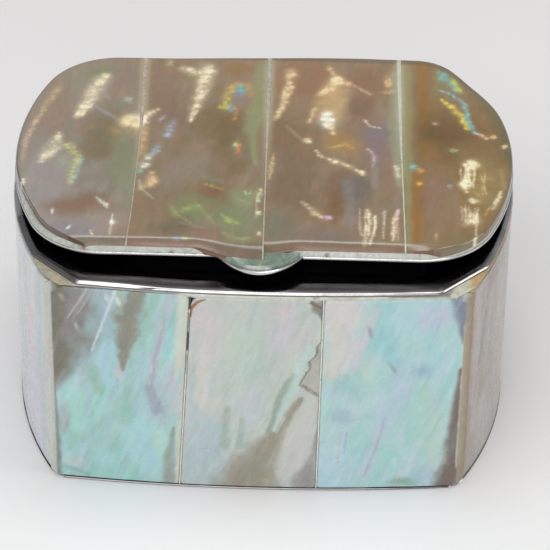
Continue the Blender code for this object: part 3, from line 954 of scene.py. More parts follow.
FRONT_EDGES = (-HALF_FRONT, (-9.15, -10.85), (8.95, 8.5), HALF_FRONT)
BACK_EDGES = (-HALF_FRONT, (-9.5, -9.5), (9.5, 9.5), HALF_FRONT)
SEAM_HALF = 0.11
JOINT_PLAY = 0.01
SLAB_EDGE_RADIUS = 0.3
CHIP = [(9.6, 27.3), (8.75, 27.2), (8.15, 26.4), (8.2, 25.1), (7.1, 23.7), (7.25, 22.4), (6.5, 21.0),
        (5.9, 19.6), (6.8, 18.8), (8.4, 17.6), (9.6, 17.6)]
CHIP_DEPTH = 0.55

# How far down and how deep each front slab's upper corner is rounded off, beside a seam
FRONT_CORNERS = ((1.0, 1.1), (1.7, 1.3), (0.8, 0.4))


def edge_at(edge, z):
    """Where the edge between two slabs stands at a height."""
    if isinstance(edge, tuple):
        top, bottom = edge
        return bottom + (top - bottom) * z / BODY_HEIGHT
    return np.full_like(z, edge)


def corner_facet(front, side):
    """A point and the outward direction of the plane that cuts an upper corner of the body."""
    along_x, along_y = RIM_CORNER_CUT
    corner_y = FRONT_Y if front else BACK_Y
    x = HALF_FRONT - along_x
    on_side = Vector((side * x, float(front_y(x)) if front else BACK_Y, BODY_HEIGHT))
    end_y = corner_y + along_y if front else corner_y - along_y
    on_end = Vector((side * float(end_x(end_y)), end_y, BODY_HEIGHT))
    tip = Vector((side * HALF_FRONT, corner_y, BODY_HEIGHT - CORNER_FACET_DROP))
    normal = (on_end - on_side).cross(tip - on_side).normalized()
    if normal.z < 0:
        normal.negate()
    return on_side, normal


def chip_depth(x, z):
    """Depth of the flake broken from the middle front slab, with a ragged rim."""
    wander_x = fractal(x * 2.2, z * 2.2, 71) * 0.22
    wander_z = fractal(x * 2.2 + 9, z * 2.2, 77) * 0.22
    inside = inside_polygon((x + wander_x).ravel(), (z + wander_z).ravel(), CHIP).reshape(x.shape)
    floor = CHIP_DEPTH * (0.82 + 0.3 * fractal(x * 1.1, z * 1.1, 78))
    return np.where(inside, floor, 0.0)


def slab_relief(across, z, stretch, seed):
    """The slow and the fine unevenness of a slab that was ground by hand."""
    slow = 0.05 * (1 + fractal(across * stretch, z * 0.16, seed))
    return slow + 0.018 * (1 + fractal(across * 0.9, z * 0.5, seed + 4))


def long_slab(front, edges, index, pitch):
    """One of the three slabs on the front or the back, seen from outside."""
    slab_top = SLAB_TOP + (LEFT_SLAB_RISE if front and index == 0 else 0.0)
    z = height_ticks(slab_top, pitch)
    low = edge_at(edges[index], z) + (SEAM_HALF if index > 0 else 0.0)
    high = edge_at(edges[index + 1], z) - (SEAM_HALF if index < 2 else 0.0)
    if front:
        reach, depth = FRONT_CORNERS[index]
        corner = clamp((z - (slab_top - reach)) / reach)
        rounding = depth * (1 - np.sqrt(1 - corner ** 2))
        if index == 0:
            high = high - rounding
        else:
            low = low + rounding
    x = low + (high - low) * ticks(float(np.mean(high - low)), pitch)[None, :]
    z = np.broadcast_to(z, x.shape).copy()
    face = front_y(np.clip(x, -HALF_FRONT, HALF_FRONT)) if front else np.full_like(x, BACK_Y)
    inward = 1.0 if front else -1.0
    relief = slab_relief(x, z, 0.22, 30 + index + (0 if front else 10))
    depth = relief + round_drop(SLAB_EDGE_RADIUS, x - low, high - x, z - SLAB_BOTTOM, slab_top - z)
    if front and index == 1:
        depth = np.maximum(depth, chip_depth(x, z))
    inner_face = face + inward * SHELL_THICKNESS
    inner_x = x.copy()
    if index == 0:
        inner_x[:, 0] = -end_x(inner_face[:, 0])
    if index == 2:
        inner_x[:, -1] = end_x(inner_face[:, -1])
    shape = slab(grid(x, face + inward * depth, z), grid(inner_x, inner_face, z))
    if index != 1:
        trim(shape, *corner_facet(front, index - 1))
    return shape


def end_slab(side, front):
    """One of the two slabs on an end."""
    if front:
        low, high = FRONT_Y + SHELL_THICKNESS + 0.1, MIDDLE_Y - SEAM_HALF
    else:
        low, high = MIDDLE_Y + SEAM_HALF, BACK_Y - SHELL_THICKNESS - 0.1
    y = low + (high - low) * ticks(high - low, COARSE)[None, :]
    y, z = np.broadcast_arrays(y, height_ticks(SLAB_TOP, COARSE))
    relief = slab_relief(y, z, 0.2, 50 + (3 if front else 0) + (5 if side > 0 else 0))
    depth = relief + round_drop(SLAB_EDGE_RADIUS, y - low, high - y, z - SLAB_BOTTOM, SLAB_TOP - z)
    shape = slab(grid(side * (end_x(y) - depth), y, z), grid(side * end_x(y, SHELL_THICKNESS), y, z))
    trim(shape, *corner_facet(front, side))
    return shape


# What is painted on each slab: (colour, strength, shape). A shape is a patch, with its centre, its two
# radii and its lean, or a line of points, each with its half width. All in millimetres.

FRONT_LEFT = {
    "ground": (160, 203, 200),
    "streaks": [((168, 214, 214), 0.7, -17, 3), ((134, 184, 174), 0.6, -20, 8),
                ((176, 186, 202), 0.5, -15, 14)],
    "under": (60, ((172, 208, 214), (144, 188, 178), (188, 202, 208), (154, 202, 192)), 20, 1.6, 0.65),
    "over": (56, ((190, 216, 220), (146, 180, 174), (176, 186, 204), (168, 208, 202)), 20, 0.9, 0.3),
    "wash": [
        ((165, 180, 192), 0.75, [(-20.5, 35, 2.2), (-23.5, 24, 2), (-24.5, 20, 0.9)]),
        # painted shade: the panel darker at its left edge, towards the top
        ((114, 111, 98), 1, [(-27, 36, 4.6), (-27.4, 27, 3.4), (-28.4, 18, 1.5)]),
        ((140, 134, 134), 0.8, [(-24, 35, 1.5), (-26, 27, 1.1)]),
        ((156, 190, 180), 0.7, [(-13.7, 35, 0.7), (-15.9, 28, 0.9), (-17, 19, 1)]),
        ((186, 190, 200), 0.6, [(-11.7, 35, 0.9), (-13.4, 28, 0.9), (-14.6, 20, 1.1), (-13.4, 13, 1.6)]),
        ((204, 208, 196), 0.95, [(-10.2, 35, 0.7), (-10.3, 27, 0.8), (-11.3, 20, 0.3)]),
        ((196, 196, 204), 0.85, (-11.7, 17.5, 1.2, 3.6, -4)),
        ((172, 208, 214), 0.9, (-15.8, 8, 2.2, 4.5, -12)),
        ((180, 212, 202), 0.85, (-13.2, 7, 1, 3.2, -8)),
        ((148, 188, 172), 0.6, [(-18, 17.5, 1), (-18.6, 12.5, 1.4)]),
        ((168, 200, 212), 0.8, [(-20.6, 25, 1.3), (-21.6, 20, 1), (-19, 17, 0.6)]),
        ((170, 200, 210), 0.7, [(-15.9, 24, 0.8), (-16.6, 19, 0.8), (-16.4, 14, 0.9)]),
        ((150, 184, 172), 0.8, [(-23.2, 21, 0.9), (-22, 17, 0.8)]),
        ((166, 210, 202), 0.9, [(-25.6, 16, 1.2), (-25, 10, 1.5)]),
        ((168, 162, 170), 0.6, (-27, 11, 0.8, 2.2, 0)),
        ((188, 200, 202), 0.8, (-25.5, 3.2, 1.8, 1.3, -20)),
        ((150, 158, 152), 0.95, [(-11.6, 11, 0.2), (-12.1, 6, 0.8), (-12.3, 0, 1)]),
        ((196, 204, 190), 0.95, [(-11.1, 12, 0.2), (-11, 0, 0.4)]),
        ((198, 200, 192), 0.9, [(-9.9, 24, 0.5), (-10.2, 16, 0.55), (-10.5, 8, 0.45), (-10.9, 0, 0.45)]),
    ],
    "lines": [
        ((138, 139, 128), 1, [(-16.1, 35, 1), (-17.9, 30, 1.7), (-18.3, 25, 1), (-18.6, 21, 0.3)]),
        ((170, 178, 156), 0.7, [(-18.9, 35, 0.5), (-18.6, 31, 0.3)]),
        ((196, 190, 200), 0.7, (-19, 20.4, 0.6, 1.3, -10)),
        ((170, 168, 184), 0.6, [(-12.6, 30.5, 0.15), (-14, 24, 0.3), (-14.9, 18, 0.35)]),
        ((150, 160, 176), 0.7, [(-14.9, 18, 0.6), (-13.8, 14, 0.8)]),
        ((208, 218, 222), 0.75, [(-19.4, 35, 0.25), (-22.9, 24, 0.1)]),
        ((214, 218, 218), 0.8, (-20.5, 33.6, 0.35, 0.9, -20)),
        ((214, 222, 224), 0.8, (-19.1, 33.2, 0.3, 0.8, -20)),
        ((186, 184, 180), 0.8, [(-23.2, 35, 0.14), (-26.1, 29.5, 0.1)]),
        ((186, 184, 180), 0.7, [(-22.6, 34.6, 0.12), (-24.6, 30.5, 0.08)]),
        ((190, 188, 184), 0.8, (-24.9, 28.3, 0.25, 0.9, -20)),
        ((178, 174, 168), 0.6, (-26.8, 33.1, 0.3, 0.8, -20)),
        ((214, 224, 226), 0.6, [(-14.6, 22, 0.08), (-14.9, 18.5, 0.05)]),
        # painted shade down the panel's left edge
        ((128, 134, 132), 0.85, [(-28.3, 20, 0.1), (-28.2, 12, 0.4), (-28.1, 1, 0.5)]),
        ((140, 172, 164), 0.6, [(-27.6, 2.4, 0.5), (-24, 1.2, 0.3)]),
    ],
}
FRONT_MIDDLE = {
    "ground": (190, 197, 190),
    "streaks": [((204, 200, 200), 0.7, -12, 5), ((176, 196, 184), 0.6, -14, 9),
                ((172, 182, 188), 0.45, -8, 15)],
    "under": (60, ((204, 201, 201), (180, 198, 188), (182, 192, 198), (194, 203, 196)), 14, 1.8, 0.6),
    "over": (56, ((206, 210, 206), (170, 184, 172), (188, 196, 204), (200, 194, 190)), 14, 0.9, 0.28),
    "wash": [
        ((202, 196, 198), 0.85, (-6.2, 29, 2.6, 5.5, -6)),
        ((204, 194, 198), 0.7, (3.9, 32.5, 1.7, 1.6, 0)),
        ((196, 194, 200), 0.7, (4.4, 28, 2.4, 3, -20)),
        ((184, 204, 192), 0.7, (-2, 24, 2.6, 6, -6)),
        ((206, 202, 198), 0.7, (-7.6, 20, 0.9, 6, 0)),
        ((176, 194, 200), 0.9, [(-6.6, 12, 1.8), (-6.6, 2, 3.4)]),
        ((188, 196, 204), 0.8, (-0.9, 15.5, 1.5, 3.6, -4)),
        ((150, 168, 160), 0.6, [(-4, 15, 0.5), (-4.4, 8, 0.6)]),
        ((150, 168, 160), 0.5, [(-2, 13, 0.4), (-2.4, 8, 0.5)]),
        ((151, 147, 132), 1, [(6, 17, 0.35), (4, 13, 0.8), (1, 7, 2), (-1.3, 0, 3.6)]),
        ((196, 196, 194), 0.95, [(8, 16.5, 0.7), (6.3, 10, 1.6), (4.6, 3.5, 1.5)]),
        ((152, 150, 147), 0.95, [(8.6, 12, 0.15), (8.2, 7, 0.5), (7.2, 1.5, 1.7)]),
        ((196, 204, 200), 0.9, [(8.6, 34, 0.6), (8.5, 28, 0.5)]),
    ],
    "lines": [
        ((146, 160, 146), 0.8, [(5, 21.4, 0.3), (3.7, 18.5, 0.6), (2.5, 14, 0.5), (1.6, 10.5, 0.3)]),
        ((184, 206, 200), 0.85, [(7.4, 26.5, 0.7), (5.4, 20.5, 0.8), (3.7, 15.5, 0.5), (2.5, 11.2, 0.3)]),
        ((196, 208, 212), 0.6, [(3.9, 13.5, 0.16), (2.8, 10.8, 0.1)]),
        ((128, 134, 124), 1, [(7.4, 34.3, 0.3), (8.3, 33.4, 0.9), (9, 31.4, 0.35)]),
        ((124, 74, 62), 0.9, [(7.2, 34.2, 0.14), (8.9, 33.2, 0.16)]),
        ((150, 96, 62), 1, [(-9.2, 31.2, 0.1), (-9, 32.8, 0.2), (-8.2, 33.9, 0.2), (-7.2, 34.3, 0.1)]),
        ((186, 184, 176), 1, [(8.8, 25.5, 0.5), (8.3, 22, 1), (7.4, 19.8, 1), (8.8, 18.4, 0.4)]),
    ],
}
FRONT_RIGHT = {
    "ground": (172, 206, 206),
    "streaks": [((184, 200, 214), 0.6, -22, 4), ((154, 204, 198), 0.6, -20, 9),
                ((194, 204, 214), 0.4, -18, 15)],
    "under": (60, ((184, 202, 212), (160, 202, 200), (172, 208, 206), (190, 204, 212)), 21, 1.8, 0.6),
    "over": (56, ((196, 214, 218), (152, 188, 192), (186, 192, 212), (168, 208, 202)), 20, 0.9, 0.28),
    "wash": [
        ((206, 204, 203), 1, [(11.5, 36, 4), (11.5, 28, 2.6), (10.5, 22, 1.2)]),
        ((196, 204, 194), 0.6, [(10.4, 29, 1), (10.5, 20, 1)]),
        ((154, 200, 205), 0.95, [(17.6, 33, 1.4), (17.3, 27, 2), (18.6, 23.5, 1)]),
        ((176, 208, 214), 0.8, (20.4, 31.5, 2, 3.4, -10)),
        ((190, 196, 212), 0.75, (24, 31.6, 2.4, 2.2, -10)),
        ((166, 206, 208), 0.8, (24.5, 26.5, 2, 3, -16)),
        ((180, 208, 196), 0.8, (15, 21.5, 2.2, 2.6, 0)),
        ((154, 194, 194), 0.9, (13.2, 18.6, 1.9, 2.4, -10)),
        ((176, 198, 210), 0.8, [(20.3, 22, 1.5), (19.2, 17, 2.2), (17.8, 12, 1.8)]),
        ((150, 180, 196), 0.85, (23, 21.8, 1.2, 1.4, 0)),
        ((156, 182, 196), 0.7, (12.2, 13.8, 1.9, 1.4, 0)),
        ((168, 206, 196), 0.8, [(23.2, 18, 1.4), (22.4, 11, 1.8)]),
        ((182, 206, 196), 0.9, (25, 9, 1.6, 5, 0)),
        ((178, 206, 216), 0.9, (11.3, 4, 2.4, 6, 0)),
        ((166, 188, 204), 0.6, (24, 2.6, 1.5, 1.6, -20)),
        ((134, 168, 152), 0.8, (20.2, 1.4, 1.8, 0.8, 0)),
        # painted shade: the panel darker along its right edge and at its upper right corner
        ((114, 101, 93), 1, [(28.2, 22, 0.4), (27.8, 13, 0.8), (27.5, 6, 1.2), (26.9, 0, 1.7)]),
        ((122, 132, 146), 1, [(26.4, 35, 0.5), (28, 33, 1.1), (28.5, 27, 0.4)]),
    ],
    "lines": [
        ((206, 196, 202), 0.6, [(16.4, 33, 0.4), (14.9, 29, 0.5), (13.7, 25, 0.6), (13, 21.5, 0.3)]),
        ((156, 156, 166), 0.75, (15.4, 29, 0.3, 1.2, -12)),
        ((150, 170, 160), 0.8, (18.7, 22.6, 1.1, 0.3, 60)),
        ((168, 170, 190), 0.6, [(17.9, 13.5, 0.15), (16.7, 8, 0.25), (15.3, 2.8, 0.2)]),
        ((196, 196, 208), 0.6, [(17.3, 12, 0.2), (16, 6.5, 0.25)]),
        ((200, 184, 200), 0.8, [(11.9, 11, 0.2), (11.4, 5, 0.15)]),
        ((150, 172, 196), 0.6, [(12.6, 11, 0.2), (12.3, 7, 0.15)]),
        ((206, 208, 196), 0.9, [(28.4, 30, 0.2), (28.3, 4, 0.2)]),
    ],
}
END_LEFT = {
    "ground": (193, 197, 202),
    "streaks": [((202, 206, 206), 0.6, -4, 3), ((184, 190, 200), 0.5, -6, 8), ((204, 198, 204), 0.4, 3, 12)],
    "under": (36, ((206, 206, 212), (182, 192, 200), (202, 206, 202)), -3, 2, 0.6),
    "over": (16, ((212, 214, 218), (186, 194, 204)), -4, 0.9, 0.4),
    "wash": [
        ((178, 188, 196), 0.7, [(-21.3, 34, 0.7), (-20.8, 20, 0.8), (-21, 4, 0.6)]),
        ((206, 210, 208), 0.8, [(-18.5, 34, 1.6), (-18.3, 26, 1.2)]),
        ((206, 196, 203), 0.7, [(-16.4, 26, 1), (-16.8, 18, 1.2), (-18, 12, 0.8)]),
        ((202, 204, 214), 0.8, [(-17.6, 12, 2.4), (-18, 0, 2.6)]),
        ((182, 190, 200), 0.7, [(-12.8, 22, 1.4), (-11.6, 4, 2.2)]),
        ((188, 214, 208), 0.5, (-5, 20, 3.5, 8, 10)),
        ((212, 196, 206), 0.75, (5, 16, 3, 9, 12)),
        ((160, 200, 198), 0.75, (13, 22, 3, 8, 12)),
        ((182, 180, 172), 0.5, (10, 5, 4.5, 7, 8)),
        ((198, 206, 196), 0.6, (21, 12, 1.6, 9, 4)),
    ],
    "lines": [((214, 216, 220), 0.6, [(-14, 30, 0.3), (-12.6, 16, 0.3)]),
              ((196, 200, 176), 0.8, [(-23, 34, 0.5), (-23, 2, 0.4)]),
              ((150, 196, 190), 0.6, [(-22.4, 22, 0.3), (-22.4, 16, 0.3)])],
}
END_RIGHT = {
    "ground": (147, 138, 130),
    "streaks": [((168, 160, 154), 0.6, 5, 6), ((138, 130, 120), 0.5, 7, 9), ((162, 158, 166), 0.35, 4, 13)],
    "under": (36, ((170, 162, 156), (140, 132, 122), (160, 156, 160)), -4, 2, 0.6),
    "over": (16, ((178, 170, 164), (138, 130, 124)), -5, 0.9, 0.4),
    "wash": [
        ((136, 122, 108), 0.8, [(-17, 34, 2), (-8, 33, 3), (4, 33, 3), (20, 33, 3)]),
        ((176, 168, 162), 0.8, [(-21.4, 33, 0.9), (-21, 22, 1), (-21, 8, 0.8)]),
        ((172, 168, 166), 0.8, [(-18.5, 11, 1.8), (-17.5, 0, 3.4)]),
        ((170, 158, 148), 0.6, [(-10, 10, 2.6), (-7, 0, 3.4)]),
        ((158, 150, 146), 0.6, (-13, 18, 2.4, 9, -6)),
        ((150, 152, 144), 0.6, (-4, 14, 3.4, 8, -6)),
        ((166, 186, 182), 0.75, (8, 19, 3.4, 9, -12)),
        ((186, 170, 176), 0.65, (13.6, 13, 2.2, 8, -8)),
        ((150, 182, 178), 0.7, (18.5, 20, 2, 8, -14)),
        ((136, 118, 98), 0.7, (20, 6, 3, 5, -6)),
        ((180, 178, 160), 0.6, (1.6, 8, 1.6, 6, -10)),
    ],
    "lines": [((126, 116, 122), 0.75, [(-18.2, 32, 0.3), (-19.6, 23, 0.35), (-21.4, 12, 0.15)]),
              ((188, 180, 174), 0.6, [(-17, 30, 0.25), (-18, 14, 0.2)]),
              ((150, 124, 84), 0.85, [(-23, 34, 0.5), (-23, 14, 0.4), (-23, 2, 0.3)])],
}


def paint_slab(mesh, look, across, edge_tone=None, turned_over=False):
    """Paints a slab of the body. The hidden ones reuse a look, turned over and painted paler, as painted
    light for the back, which the lamps light less.
    """
    canvas = canvas_over(mesh, across, 2, look["ground"])
    if turned_over:
        canvas.y = BODY_HEIGHT - canvas.y
    for colour, amount, degrees, seed in look["streaks"]:
        canvas.streaks(colour, amount, -degrees, seed)
    canvas.hairs(look["under"])
    canvas.wash(look["wash"], 0.7, 0.6, 0.35)
    canvas.hairs(look["over"])
    canvas.wash(look["lines"], 0.6, 0.5, 0.9)
    if turned_over:
        # painted light: the back slabs made paler, where the lamps light them less
        canvas.lay((222, 226, 224), np.full(len(canvas.x), 0.2))
    elif look is FRONT_MIDDLE:
        # painted shade along the chip's broken edge
        ragged = ribbon_distance(canvas.x, canvas.y, [(x, z, 0.16) for x, z in CHIP[:-1]])
        canvas.lay((118, 116, 108), 0.7 * (1 - smoothstep(0.3, 1.2, ragged)) * (canvas.x < 8.7))
    if edge_tone is not None:
        canvas.lay(edge_tone, 0.9 * smoothstep(HALF_FRONT - 0.3, HALF_FRONT + 0.1, abs(canvas.x)))
    keep_paint(mesh, canvas)


def make_slabs(nacre_front, nacre_side):
    sides = (("front", True, FRONT_EDGES, FINE), ("back", False, BACK_EDGES, COARSE))
    looks = (("left", FRONT_LEFT, (200, 204, 196)), ("middle", FRONT_MIDDLE, None),
             ("right", FRONT_RIGHT, (138, 116, 86)))
    for place, front, edges, pitch in sides:
        for index, (name, look, edge_tone) in enumerate(looks):
            node = f"{place}_panel_{name}"
            mesh = mesh_from(long_slab(front, edges, index, pitch), node + "_shell")
            paint_slab(mesh, look, 0, edge_tone, not front)
            add_piece(node + "_shell", mesh, nacre_front, "case", "body_shell", node)
    for side, name, look in ((-1, "left", END_LEFT), (1, "right", END_RIGHT)):
        for front, depth in ((True, "front"), (False, "rear")):
            node = f"end_panel_{name}_{depth}"
            mesh = mesh_from(end_slab(side, front), node + "_shell")
            paint_slab(mesh, look, 1)
            add_piece(node + "_shell", mesh, nacre_side, "case", "body_shell", node)


# The shell strips of the lid

LID_SEAMS = (((-18.0, 23.9), (-17.7, 10.4), (-17.7, -0.4), (-17.9, -14.4), (-18.3, -23.0)),
             ((0.1, 23.9), (0.5, -23.0)),
             ((18.9, 23.9), (19.2, 5.0), (19.9, -23.0)))
BEVEL = 1.0
BEVEL_DROP = 0.72
BEVEL_LEFT_END = (23.0, 32.0)
BEVEL_RIGHT_END = (18.0, 27.0)
LID_SEAM_HALF = (0.12, 0.32)
LID_SEAM_WIDENS = (-6.0, 20.0)
SHELL_EDGE_RADIUS = 0.6

# The shell's reach over the thumb tab: amounts, and the two places across the lid where each runs in or out
SWELL_LEFT = ((1.25, -9.6, -4.4), (0.95, -7.0, -1.0))
SWELL_RIGHT = (0.9, 0.4, 5.5)
SWELL_PARTING = 0.45
SWELL_DEPTH = 6.0
SKEW_FROM_Y = 6.0
SKEW_PLACE = (-18.0, 16.0)


def seam_x(seam, y):
    """Where a seam of the lid stands at a depth."""
    points = sorted((b, a) for a, b in seam)
    return np.interp(y, [p[0] for p in points], [p[1] for p in points])


def seam_half(y):
    """Half width of a seam, which is wider at the back."""
    front_half, back_half = LID_SEAM_HALF
    return front_half + (back_half - front_half) * smoothstep(*LID_SEAM_WIDENS, y)


def shell_swell(x):
    """How far the shell reaches forward over the thumb tab. Its left half reaches further."""
    x = np.asarray(x, float)
    left = sum(amount * smoothstep(low, high, x) for amount, low, high in SWELL_LEFT)
    amount, low, high = SWELL_RIGHT
    return np.where(x < SWELL_PARTING, left, amount * (1 - smoothstep(low, high, x)))


def shell_front(x):
    """Front edge of the shell."""
    return SHELL_FRONT_Y - shell_swell(x)


def shell_place(x, y):
    """Depth of a point of the shell, drawn forward over the tab and back on the right-hand side."""
    near = clamp(1 - (y - SHELL_FRONT_Y) / SWELL_DEPTH) ** 2
    far = clamp((y - SKEW_FROM_Y) / (BACK_Y - SKEW_FROM_Y)) ** 2
    return y - shell_swell(x) * near + LID_BACK_SKEW * smoothstep(*SKEW_PLACE, x) * far


def shell_outline_x(y, corner_margin):
    """Half width of the shell at a depth, drawn in at its front corner."""
    y = np.asarray(y, float)
    end_radius = LID_END_RADIUS - LID_SIDE_MARGIN
    corner_radius = LID_CORNER_RADIUS - LID_SIDE_MARGIN
    v = abs(y - LID_MIDDLE_Y)
    x_end = END_ARC_X + np.sqrt(np.maximum(end_radius ** 2 - v ** 2, 0))
    x_corner = CORNER_ARC_X + np.sqrt(np.maximum(corner_radius ** 2 - (v - CORNER_ARC_Y) ** 2, 0))
    half_width = np.where(v < end_radius * math.sin(ARCS_MEET), x_end, x_corner)
    return half_width - corner_margin * smoothstep(-1.0, -15.0, y)


def shell_distance(x, y):
    """Distance from the rounded ends and the back edge of the shell."""
    u, v = abs(x), abs(y - LID_MIDDLE_Y)
    beyond_x, beyond_y = u - CORNER_ARC_X, v - CORNER_ARC_Y
    to_end = LID_END_RADIUS - LID_SIDE_MARGIN - np.hypot(u - END_ARC_X, v)
    to_corner = LID_CORNER_RADIUS - LID_SIDE_MARGIN - np.hypot(clamp(beyond_x, 0, 99), clamp(beyond_y, 0, 99))
    in_corner = (beyond_x > 0) & (beyond_y * (CORNER_ARC_X - END_ARC_X) > beyond_x * CORNER_ARC_Y)
    to_side = LID_HALF_DEPTH - LID_SIDE_MARGIN - v
    return np.maximum(np.where(in_corner, to_corner, np.minimum(to_side, to_end)), 0.0)


def bevel_share(x):
    """The bevel runs out into the rounded ends."""
    return (1 - smoothstep(*BEVEL_RIGHT_END, x)) * (1 - smoothstep(*BEVEL_LEFT_END, -x))


def shell_top(x, y):
    """Height of the lid's shell, domed, with a bevel along the front and rounded edges elsewhere."""
    forward = clamp((LID_MIDDLE_Y - y) / LID_HALF_DEPTH)
    share = clamp(0.8 * (x / (LID_WIDTH / 2)) ** 2 + 0.85 * forward ** 2)
    top = STRIP_TOP + LID_DOME * (1 - share) - 0.05 - 0.14 * smoothstep(0.0, 0.6, forward)
    top = top + BACK_RISE * smoothstep(1.0, 23.0, y) * (1 - smoothstep(26.0, 32.0, x))
    top = top + 0.045 * fractal(x * 0.16, y * 0.16, 91) + 0.011 * fractal(x * 0.75, y * 0.5, 95)
    behind_front = y - LID_FRONT_Y - LID_MARGIN
    slope = clamp(1 - behind_front / BEVEL) * bevel_share(x)
    fall = BEVEL_DROP * slope ** 1.15 * (1 + 0.22 * shell_swell(x))
    edge = round_drop(SHELL_EDGE_RADIUS, shell_distance(x, y))
    return top - np.maximum(fall, edge)


def lid_strip(index):
    """One of the four strips across the lid, counted from the left."""
    depth = SHELL_BACK_Y - SHELL_FRONT_Y
    y = SHELL_FRONT_Y + depth * ticks(depth, FINE)
    if index == 0:
        low = -shell_outline_x(y, CORNER_MARGINS[0])
    else:
        low = seam_x(LID_SEAMS[index - 1], y) + seam_half(y)
    if index == 3:
        high = shell_outline_x(y, CORNER_MARGINS[1])
    else:
        high = seam_x(LID_SEAMS[index], y) - seam_half(y)
    shares = ticks(float(np.max(high - low)), FINE)
    x = low[:, None] + (high - low)[:, None] * shares[None, :]
    y = np.broadcast_to(y[:, None], x.shape)
    return slab_down_to(STRIP_BOTTOM, grid(x, shell_place(x, y), shell_top(x, y)))


# CREAM and PALE are colours of painted highlights
CREAM = (255, 243, 208)
PALE = (246, 246, 238)
LID_GROUND = (150, 128, 100)
LID_BACK_LIGHTENING = (188, 166, 136)
BEVEL_TONES = ((120, 108, 94), (128, 104, 84), (128, 104, 84), (120, 108, 94))
CREASE_HIGHLIGHT = (168, 176, 176)
LOW_EDGE_TONE = (128, 70, 44)
SEAM_SIDE_TONE = (194, 190, 166)
SHELL_EDGE_SHADE = (112, 104, 92)
CRACK_TONE = (88, 62, 50)
LID_STREAKS = (((160, 148, 126), 0.4, 8, 3), ((134, 118, 88), 0.4, 5, 7), ((158, 142, 134), 0.35, 12, 12))
STRIP_TONES = (
    ((162, 156, 150), (134, 132, 108), (158, 142, 140), (146, 150, 134)),
    ((156, 140, 116), (132, 118, 84), (154, 132, 126), (146, 148, 118)),
    ((160, 136, 106), (136, 108, 82), (156, 140, 138), (150, 142, 112)),
    ((160, 140, 94), (134, 106, 58), (166, 136, 112), (148, 144, 102)),
)
